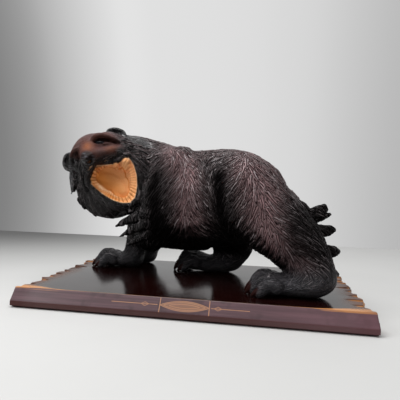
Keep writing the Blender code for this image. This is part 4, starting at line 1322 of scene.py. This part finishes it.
class Finish(Nodes):
    """A material whose nodes are added one after the other."""

    def __init__(self, name):
        self.material = bpy.data.materials.new(name)
        self.material.use_nodes = True
        super().__init__(self.material.node_tree)
        self.shader = self.tree.nodes["Principled BSDF"]

    def give(self, name, value):
        """Gives a value to one of the shader's own inputs."""
        self.put(value, self.shader.inputs[name])

    def places(self):
        """The object's own coordinates."""
        return self.node("ShaderNodeTexCoord").outputs["Object"]

    def mask(self, name, output="Fac"):
        """What is kept on the mesh under a name."""
        return self.node("ShaderNodeAttribute", attribute_name=name).outputs[output]

    def line(self, distance, half, soft=0.0003):
        """1 on a line, by the distance from its middle."""
        return self.fit(self.size(distance), half, half + soft, 1.0, 0.0)

    def noise(self, source, scale, detail=3.0, stretch=None):
        """A noise pattern, stretched or not."""
        if stretch:
            mapping = self.node("ShaderNodeMapping", {"Vector": source, "Scale": stretch})
            source = mapping.outputs["Vector"]
        inputs = {"Vector": source, "Scale": scale, "Detail": detail, "Roughness": 0.55}
        return self.node("ShaderNodeTexNoise", inputs).outputs["Fac"]

    def mix(self, factor, first, second):
        """Two colours mixed."""
        node = self.node("ShaderNodeMix", data_type="RGBA")
        sockets = {socket.identifier: socket for socket in [*node.inputs, *node.outputs]}
        self.put(factor, sockets["Factor_Float"])
        self.put(first, sockets["A_Color"])
        self.put(second, sockets["B_Color"])
        return sockets["Result_Color"]

    def coats(self, ground, *coats):
        """Colours laid over one another, each where its mask says."""
        for mask, colour in coats:
            ground = self.mix(mask, ground, colour)
        return ground

    def bump(self, height, distance, strength=1.0):
        """Fine relief."""
        inputs = {"Height": height, "Distance": distance, "Strength": strength}
        self.give("Normal", self.node("ShaderNodeBump", inputs).outputs["Normal"])


def carved_finish(sizes):
    """Black and brown stain over carved wood, rubbed thin on the crests, with painted shade and
    painted highlights.
    """
    wood = Finish("stained_carving_with_painted_light")
    places = wood.places()
    stroke, length, number = wood.split(wood.mask("hair", "Vector"))
    depth, shade, face, black, claw, eye, bare = (
        wood.mask(name) for name in ("depth", "shade", "face", "black", "claw", "eye", "bare"))
    grain = wood.noise(places, 60.0, 4.0, (1.0, 1.0, 6.0))
    cloud = wood.noise(places, 14.0)
    # Strokes of the gouge, and finer ones within them
    wave = wood.wave(wood.times(stroke, math.pi))
    ridge = wood.fit(wave, 0.10, 0.80)
    fine = wood.join(wood.times(stroke, 2.4), wood.times(length, 70.0), wood.times(number, 40.0))
    strand = wood.fit(wood.noise(fine, 1.0, 2.0), 0.32, 0.68)
    # A number for each stroke, so that some catch more light
    single = wood.join(wood.math("FLOOR", stroke, 0.0), wood.times(number, 37.0))
    chance = wood.node("ShaderNodeTexWhiteNoise", {"Vector": single}, noise_dimensions="2D")
    lucky = wood.fit(chance.outputs["Value"], 0.35, 1.0)
    groove = wood.times(depth, wood.fit(ridge, 0.0, 1.0, 0.92, 0.0))
    # Painted shade at the root of each tuft, where the tips of the tufts above lie over it
    root = wood.times(depth, wood.fit(length, 0.0, 0.012, 0.7, 0.0))
    # Darker: stain in the grooves and between the strands, black paint on the nose and ears, and
    # painted shade in the hollows and at the tufts' roots
    dark = wood.most(groove, wood.times(depth, wood.fit(strand, 0.0, 1.0, 0.55, 0.0)), shade,
                     root, wood.times(black, 0.9))
    # lit: painted highlight on the ridges of single strokes, fainter in the painted shade and at
    # the tufts' roots
    lit = wood.times(depth, wood.fit(wave, 0.55, 0.95), lucky,
                     wood.fit(number, 0.25, 0.75, 0.35, 1.2),
                     wood.fit(shade, 0.3, 1.0, 1.0, 0.1), wood.fit(root, 0.0, 0.7, 0.55, 0.0))
    # Painted highlight: grey glints streaked over the black nose and ears
    glint = wood.times(black, wood.fit(grain, 0.50, 0.64, 0.0, 0.9))
    stain = wood.coats(
        sizes.black_stain,
        (wood.times(wood.mask("warm"), wood.fit(cloud, 0.3, 0.65, 0.7)), sizes.warm_stain_and_sheen),
        (wood.mask("low"), sizes.foot_stain),
        (wood.times(face, wood.fit(cloud, 0.38, 0.62, 0.35)), sizes.face_stain),
        (wood.times(wood.mask("worn"), wood.fit(cloud, 0.35, 0.6, 0.6)), sizes.worn_wood),
        (dark, shaded(sizes.black_stain, 0.35)),
        (wood.times(lit, 0.9), sizes.painted_hair_highlight),
        (glint, shaded(sizes.foot_stain, 1.9)),
        (claw, sizes.claw_stain),
        (eye, EYE_STAIN))
    pale, fleck, cut_line = mouth_colour(wood, sizes, places)
    wood.give("Base Color", wood.mix(bare, stain, pale))
    rough = wood.plus(wood.fit(cloud, 0.3, 0.7, 0.20, 0.34), wood.times(bare, 0.25),
                      wood.times(face, 0.08))
    wood.give("Roughness", wood.less(rough, wood.times(eye, 0.12)))
    # Only single strokes, the eyes, the nose and the ears shine
    shine = wood.times(wood.fit(shade, 0.0, 1.0, 0.9, 0.05),
                       wood.fit(groove, 0.0, 0.9, 1.0, 0.03),
                       wood.fit(wood.most(bare, face, claw), 0.0, 1.0, 1.0, 0.22),
                       wood.fit(wood.most(lit, eye, black), 0.0, 0.8, 0.32, 1.0))
    wood.give("Specular IOR Level", shine)
    relief = wood.plus(wood.times(depth, ridge), wood.times(depth, strand, 0.35),
                       wood.times(grain, 0.12), wood.times(bare, fleck, 0.5))
    wood.bump(wood.less(relief, wood.times(bare, cut_line)), 0.0015)
    return wood.material


def mouth_colour(wood, sizes, places):
    """Bare wood of the mouth: its colour with pale painted highlights, its flecks and the cuts in
    the gums.
    """
    teeth = wood.wave(wood.times(wood.mask("angle"), CUTS_ROUND_MOUTH))
    cut_line = wood.times(wood.mask("cuts"), wood.fit(teeth, 0.1, 0.7, 1.0, 0.0))
    fleck = wood.noise(places, 420.0, 2.0)
    pale = wood.coats(
        sizes.bare_wood,
        (wood.mask("orange"), sizes.orange_wood),
        (wood.mask("cream"), sizes.highlight_wood),
        (wood.fit(fleck, 0.4, 0.75, 0.0, 0.4), sizes.orange_wood),
        (wood.times(cut_line, 0.85), shaded(sizes.orange_wood, 0.75)))
    return pale, fleck, cut_line


def band_pattern(wood, x, z):
    """The front band's pattern: a leaf between two bars, and an arrow on each side."""
    across = wood.less(x, PATTERN_MIDDLE)
    drop = wood.less(BOARD_TOP - PATTERN_DROP, z)
    high = wood.size(drop)
    share = wood.over(across, LEAF_HALF)
    bulge = wood.less(1.0, wood.times(share, share))
    lines = [wood.times(wood.line(wood.less(wood.size(across), LEAF_HALF), 0.0006),
                        wood.line(drop, 0.0100))]
    # Leaf: its outline, two lenses within, and a paler filling
    for height, shift in ((LEAF_HEIGHT, 0.0), (LEAF_HEIGHT, 0.0017), (0.0062, 0.0036)):
        edge = wood.less(wood.times(bulge, height), shift)
        lines.append(wood.times(wood.line(wood.less(high, edge), 0.00032),
                                wood.fit(edge, 0.0, 0.0004)))
    within = wood.less(wood.times(bulge, LEAF_HEIGHT), high)
    lines.append(wood.fit(within, 0.0, 0.0004, 0.0, 0.50))
    # Arrows: a thin line and a long diamond, from each bar outwards
    for first, last, place, reach in ARROWS:
        middle, half = (first + last) / 2, (last - first) / 2
        lines.append(wood.times(wood.line(wood.less(x, middle), half),
                                wood.line(drop, 0.00035)))
        size = wood.plus(wood.over(wood.size(wood.less(x, place)), reach),
                         wood.over(high, 0.0028))
        lines.append(wood.line(wood.less(size, 0.9), 0.12, 0.1))
    return wood.most(*lines)


def band_colour(wood, sizes, place, streak, cloud):
    """Thin brown of the sloped bands, redder at their foot, paler to the right with painted light,
    with the pattern in front.
    """
    x, y, z = place
    front = -sizes.top_depth / 2
    pattern = wood.times(band_pattern(wood, x, z), wood.fit(y, front, front - 0.001))
    return wood.coats(
        sizes.band,
        (wood.fit(streak, 0.3, 0.7), shaded(sizes.band, 0.6)),
        (wood.times(wood.fit(cloud, 0.50, 0.62), 0.6), shaded(sizes.band, 0.35)),
        (wood.times(wood.fit(z, 0.0105, 0.0125, 1.0, 0.0), 0.8), sizes.band_foot),
        # Painted light: the band paler towards the right
        (wood.fit(x, 0.05, 0.30, 0.0, 0.35), shaded(sizes.band, 2.2)),
        (wood.times(pattern, wood.fit(cloud, 0.3, 0.6, 0.6)), sizes.inlay))


def board_finish(sizes):
    """Dark lacquer on top, thinner brown on the bands, bare wood along worn edges."""
    wood = Finish("lacquered_wood")
    places = wood.places()
    x, y, z = wood.split(places)
    grain = wood.noise(places, 18.0, 5.0, (1.0, 14.0, 14.0))
    streak = wood.noise(places, 9.0, 4.0, (1.0, 30.0, 30.0))
    cloud = wood.noise(places, 22.0)
    deep, out = wood.size(y), wood.size(x)
    half = sizes.top_depth / 2
    on_band = wood.fit(deep, half - 0.0006, half + 0.0006)
    off_band = wood.less(1.0, on_band)
    band = band_colour(wood, sizes, (x, y, z), streak, cloud)
    # Carved ends, brown on top and bare on their cut faces
    end = wood.fit(wood.plus(out, wood.times(cloud, 0.03)), 0.262, 0.305)
    below = wood.fit(z, BOARD_TOP - 0.0016, BOARD_TOP - 0.0006, 1.0, 0.0)
    carved = wood.most(wood.times(end, 0.8), wood.times(below, off_band))
    rough_wood = wood.coats(
        sizes.rough,
        (wood.fit(cloud, 0.42, 0.62), shaded(sizes.rough, 1.7)),
        (wood.times(below, wood.fit(cloud, 0.46, 0.56)), shaded(sizes.bare, 0.8)))
    # Worn line along the top's front and back edge, broad near the corners
    corner = wood.fit(out, 0.20, 0.298, 0.0010, 0.0200)
    from_edge = wood.size(wood.less(deep, half - 0.001))
    line = wood.times(wood.fit(wood.over(from_edge, corner), 0.5, 1.3, 1.0, 0.0),
                      wood.fit(z, BOARD_TOP - 0.0030, BOARD_TOP - 0.0015),
                      wood.fit(streak, 0.36, 0.52), wood.fit(out, 0.16, 0.23, 0.35))
    wood.give("Base Color", wood.coats(
        sizes.lacquer,
        (wood.fit(grain, 0.35, 0.7), shaded(sizes.lacquer, 1.8)),
        (on_band, band),
        (wood.times(carved, off_band), rough_wood),
        (line, sizes.bare)))
    matte = wood.most(on_band, carved)
    wood.give("Roughness", wood.plus(wood.fit(cloud, 0.3, 0.7, 0.10, 0.16),
                                     wood.times(matte, 0.26)))
    wood.give("Specular IOR Level", wood.fit(wood.most(line, carved), 0.0, 1.0, 0.38, 0.15))
    wood.bump(wood.plus(wood.times(grain, 0.6), wood.times(cloud, matte)), 0.0005, 0.35)
    return wood.material


def floor_finish(settings):
    """Pale matt floor, dimmer towards the wall on the left."""
    paint = Finish("pale_floor")
    places = paint.places()
    x, y, _ = paint.split(places)
    wall = settings.floor_size / 2
    # Painted shade: the floor darkened towards the wall on the left
    far_left = paint.times(paint.fit(y, wall - 1.5, wall), paint.fit(x, -1.1, 0.4, 1.0, 0.0))
    paint.give("Base Color", paint.coats(
        settings.floor_colour,
        (paint.fit(paint.noise(places, 3.0, 5.0), 0.3, 0.7), shaded(settings.floor_colour, 0.965)),
        (far_left, shaded(settings.floor_colour, 0.18))))
    paint.give("Roughness", 0.75)
    return paint.material


def set_finish(item, material):
    """Gives an object one material."""
    item.data.materials.clear()
    item.data.materials.append(material)


class CARVING_OT_bear(bpy.types.Operator):
    """Carve the bear and stain it"""
    bl_idname = "carving.bear"
    bl_label = "Carve the bear"

    def execute(self, context):
        sizes = context.scene.carved_bear
        bear = carve_bear(sizes)
        set_finish(bear, carved_finish(sizes))
        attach(bear, BODY)
        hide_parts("bear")
        return {"FINISHED"}


class CARVING_OT_board(bpy.types.Operator):
    """Carve the board and lacquer it"""
    bl_idname = "carving.board"
    bl_label = "Carve the board"

    def execute(self, context):
        sizes = context.scene.carved_board
        board = carve_board(sizes)
        set_finish(board, board_finish(sizes))
        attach(board, BODY)
        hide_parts("base")
        return {"FINISHED"}


class CARVING_OT_stage(bpy.types.Operator):
    """Set up the floor, the lights and the camera"""
    bl_idname = "carving.stage"
    bl_label = "Set up the stage"

    def execute(self, context):
        settings = context.scene.carving_stage
        context.scene.view_settings.view_transform = "Standard"
        lay_floor(settings)
        set_world()
        hang_lights(settings)
        place_camera()
        return {"FINISHED"}


def lay_floor(settings):
    """A broad pale floor under the board."""
    form = bmesh.new()
    bmesh.ops.create_grid(form, x_segments=8, y_segments=8, size=settings.floor_size / 2)
    floor = form_to_object(form, "floor")
    floor.location = (0, settings.floor_end - settings.floor_size / 2, -0.0005)
    set_finish(floor, floor_finish(settings))


def set_world():
    """A pale room: bright above and behind, dimmer from the front."""
    world = bpy.data.worlds.new("studio")
    bpy.context.scene.world = world
    world.use_nodes = True
    room = Nodes(world.node_tree)
    room.tree.nodes.clear()
    x, y, z = room.split(room.node("ShaderNodeTexCoord").outputs["Generated"])
    strength = room.most(room.fit(y, -0.3, 0.7, 0.16, 0.66), room.fit(z, 0.2, 0.95, 0.0, 0.75))
    light = room.node("ShaderNodeBackground", {"Color": (1.0, 1.0, 1.0), "Strength": strength})
    # The wall as the camera sees it
    shades = room.node("ShaderNodeValToRGB", {"Fac": room.plus(room.times(x, 0.5), 0.5)})
    shades.color_ramp.interpolation = "CARDINAL"
    elements = shades.color_ramp.elements
    elements.remove(elements[1])
    for place, grey in WALL_SHADES[1:]:
        elements.new(place).color = (grey, grey, grey, 1.0)
    elements[0].position, grey = WALL_SHADES[0]
    elements[0].color = (grey, grey, grey, 1.0)
    wall = room.node("ShaderNodeBackground", {"Color": shades.outputs["Color"]})
    seen = room.node("ShaderNodeLightPath").outputs["Is Camera Ray"]
    choose = room.node("ShaderNodeMixShader", {"Fac": seen, 1: light.outputs["Background"],
                                               2: wall.outputs["Background"]})
    room.node("ShaderNodeOutputWorld", {"Surface": choose.outputs["Shader"]})


def hang_lights(settings):
    """A broad light overhead and a smaller one from the left."""
    for name, place, size, share in LIGHTS:
        lamp = bpy.data.lights.new(name, "AREA")
        lamp.shape = "SQUARE"
        lamp.size = size
        lamp.energy = settings.key_power * share
        item = link_object(name, lamp)
        item.location = place
        item.rotation_euler = (LIGHTS_AIM - Vector(place)).to_track_quat("-Z", "Y").to_euler()


def place_camera():
    """The camera, low in front and a little to the right."""
    lens = bpy.data.cameras.new("camera")
    lens.sensor_width = SENSOR_WIDTH
    lens.lens = LENS_LENGTH
    lens.clip_start = 0.01
    item = link_object("camera", lens)
    right = (CAMERA_RIGHT - CAMERA_AHEAD * CAMERA_RIGHT.dot(CAMERA_AHEAD)).normalized()
    turn = Matrix((right, right.cross(CAMERA_AHEAD), -CAMERA_AHEAD)).transposed().to_4x4()
    turn.translation = CAMERA_PLACE
    item.matrix_world = turn
    bpy.context.scene.camera = item


class CARVING_PT_panel(bpy.types.Panel):
    """Steps and settings of the carving"""
    bl_idname = "CARVING_PT_panel"
    bl_label = "Carved bear"
    bl_space_type = "VIEW_3D"
    bl_region_type = "UI"
    bl_category = "Carving"

    def draw(self, context):
        layout = self.layout
        for group in (context.scene.carved_bear, context.scene.carved_board,
                      context.scene.carving_stage):
            box = layout.box()
            for name in group.__annotations__:
                box.prop(group, name)
        for step in STEPS:
            layout.operator(step)


STEPS = ("carving.board", "carving.bear", "carving.stage")
CLASSES = (BearSettings, BoardSettings, StageSettings, CARVING_OT_bear, CARVING_OT_board,
           CARVING_OT_stage, CARVING_PT_panel)


def register():
    """Adds the settings, the steps and the panel."""
    for item in CLASSES:
        bpy.utils.register_class(item)
    bpy.types.Scene.carved_bear = PointerProperty(type=BearSettings)
    bpy.types.Scene.carved_board = PointerProperty(type=BoardSettings)
    bpy.types.Scene.carving_stage = PointerProperty(type=StageSettings)


def unregister():
    """Takes them away again."""
    del bpy.types.Scene.carving_stage
    del bpy.types.Scene.carved_board
    del bpy.types.Scene.carved_bear
    for item in reversed(CLASSES):
        bpy.utils.unregister_class(item)


def main():
    """Carves both pieces and sets the stage."""
    register()
    bpy.ops.carving.board()
    bpy.ops.carving.bear()
    bpy.ops.carving.stage()


if __name__ == "__main__":
    main()
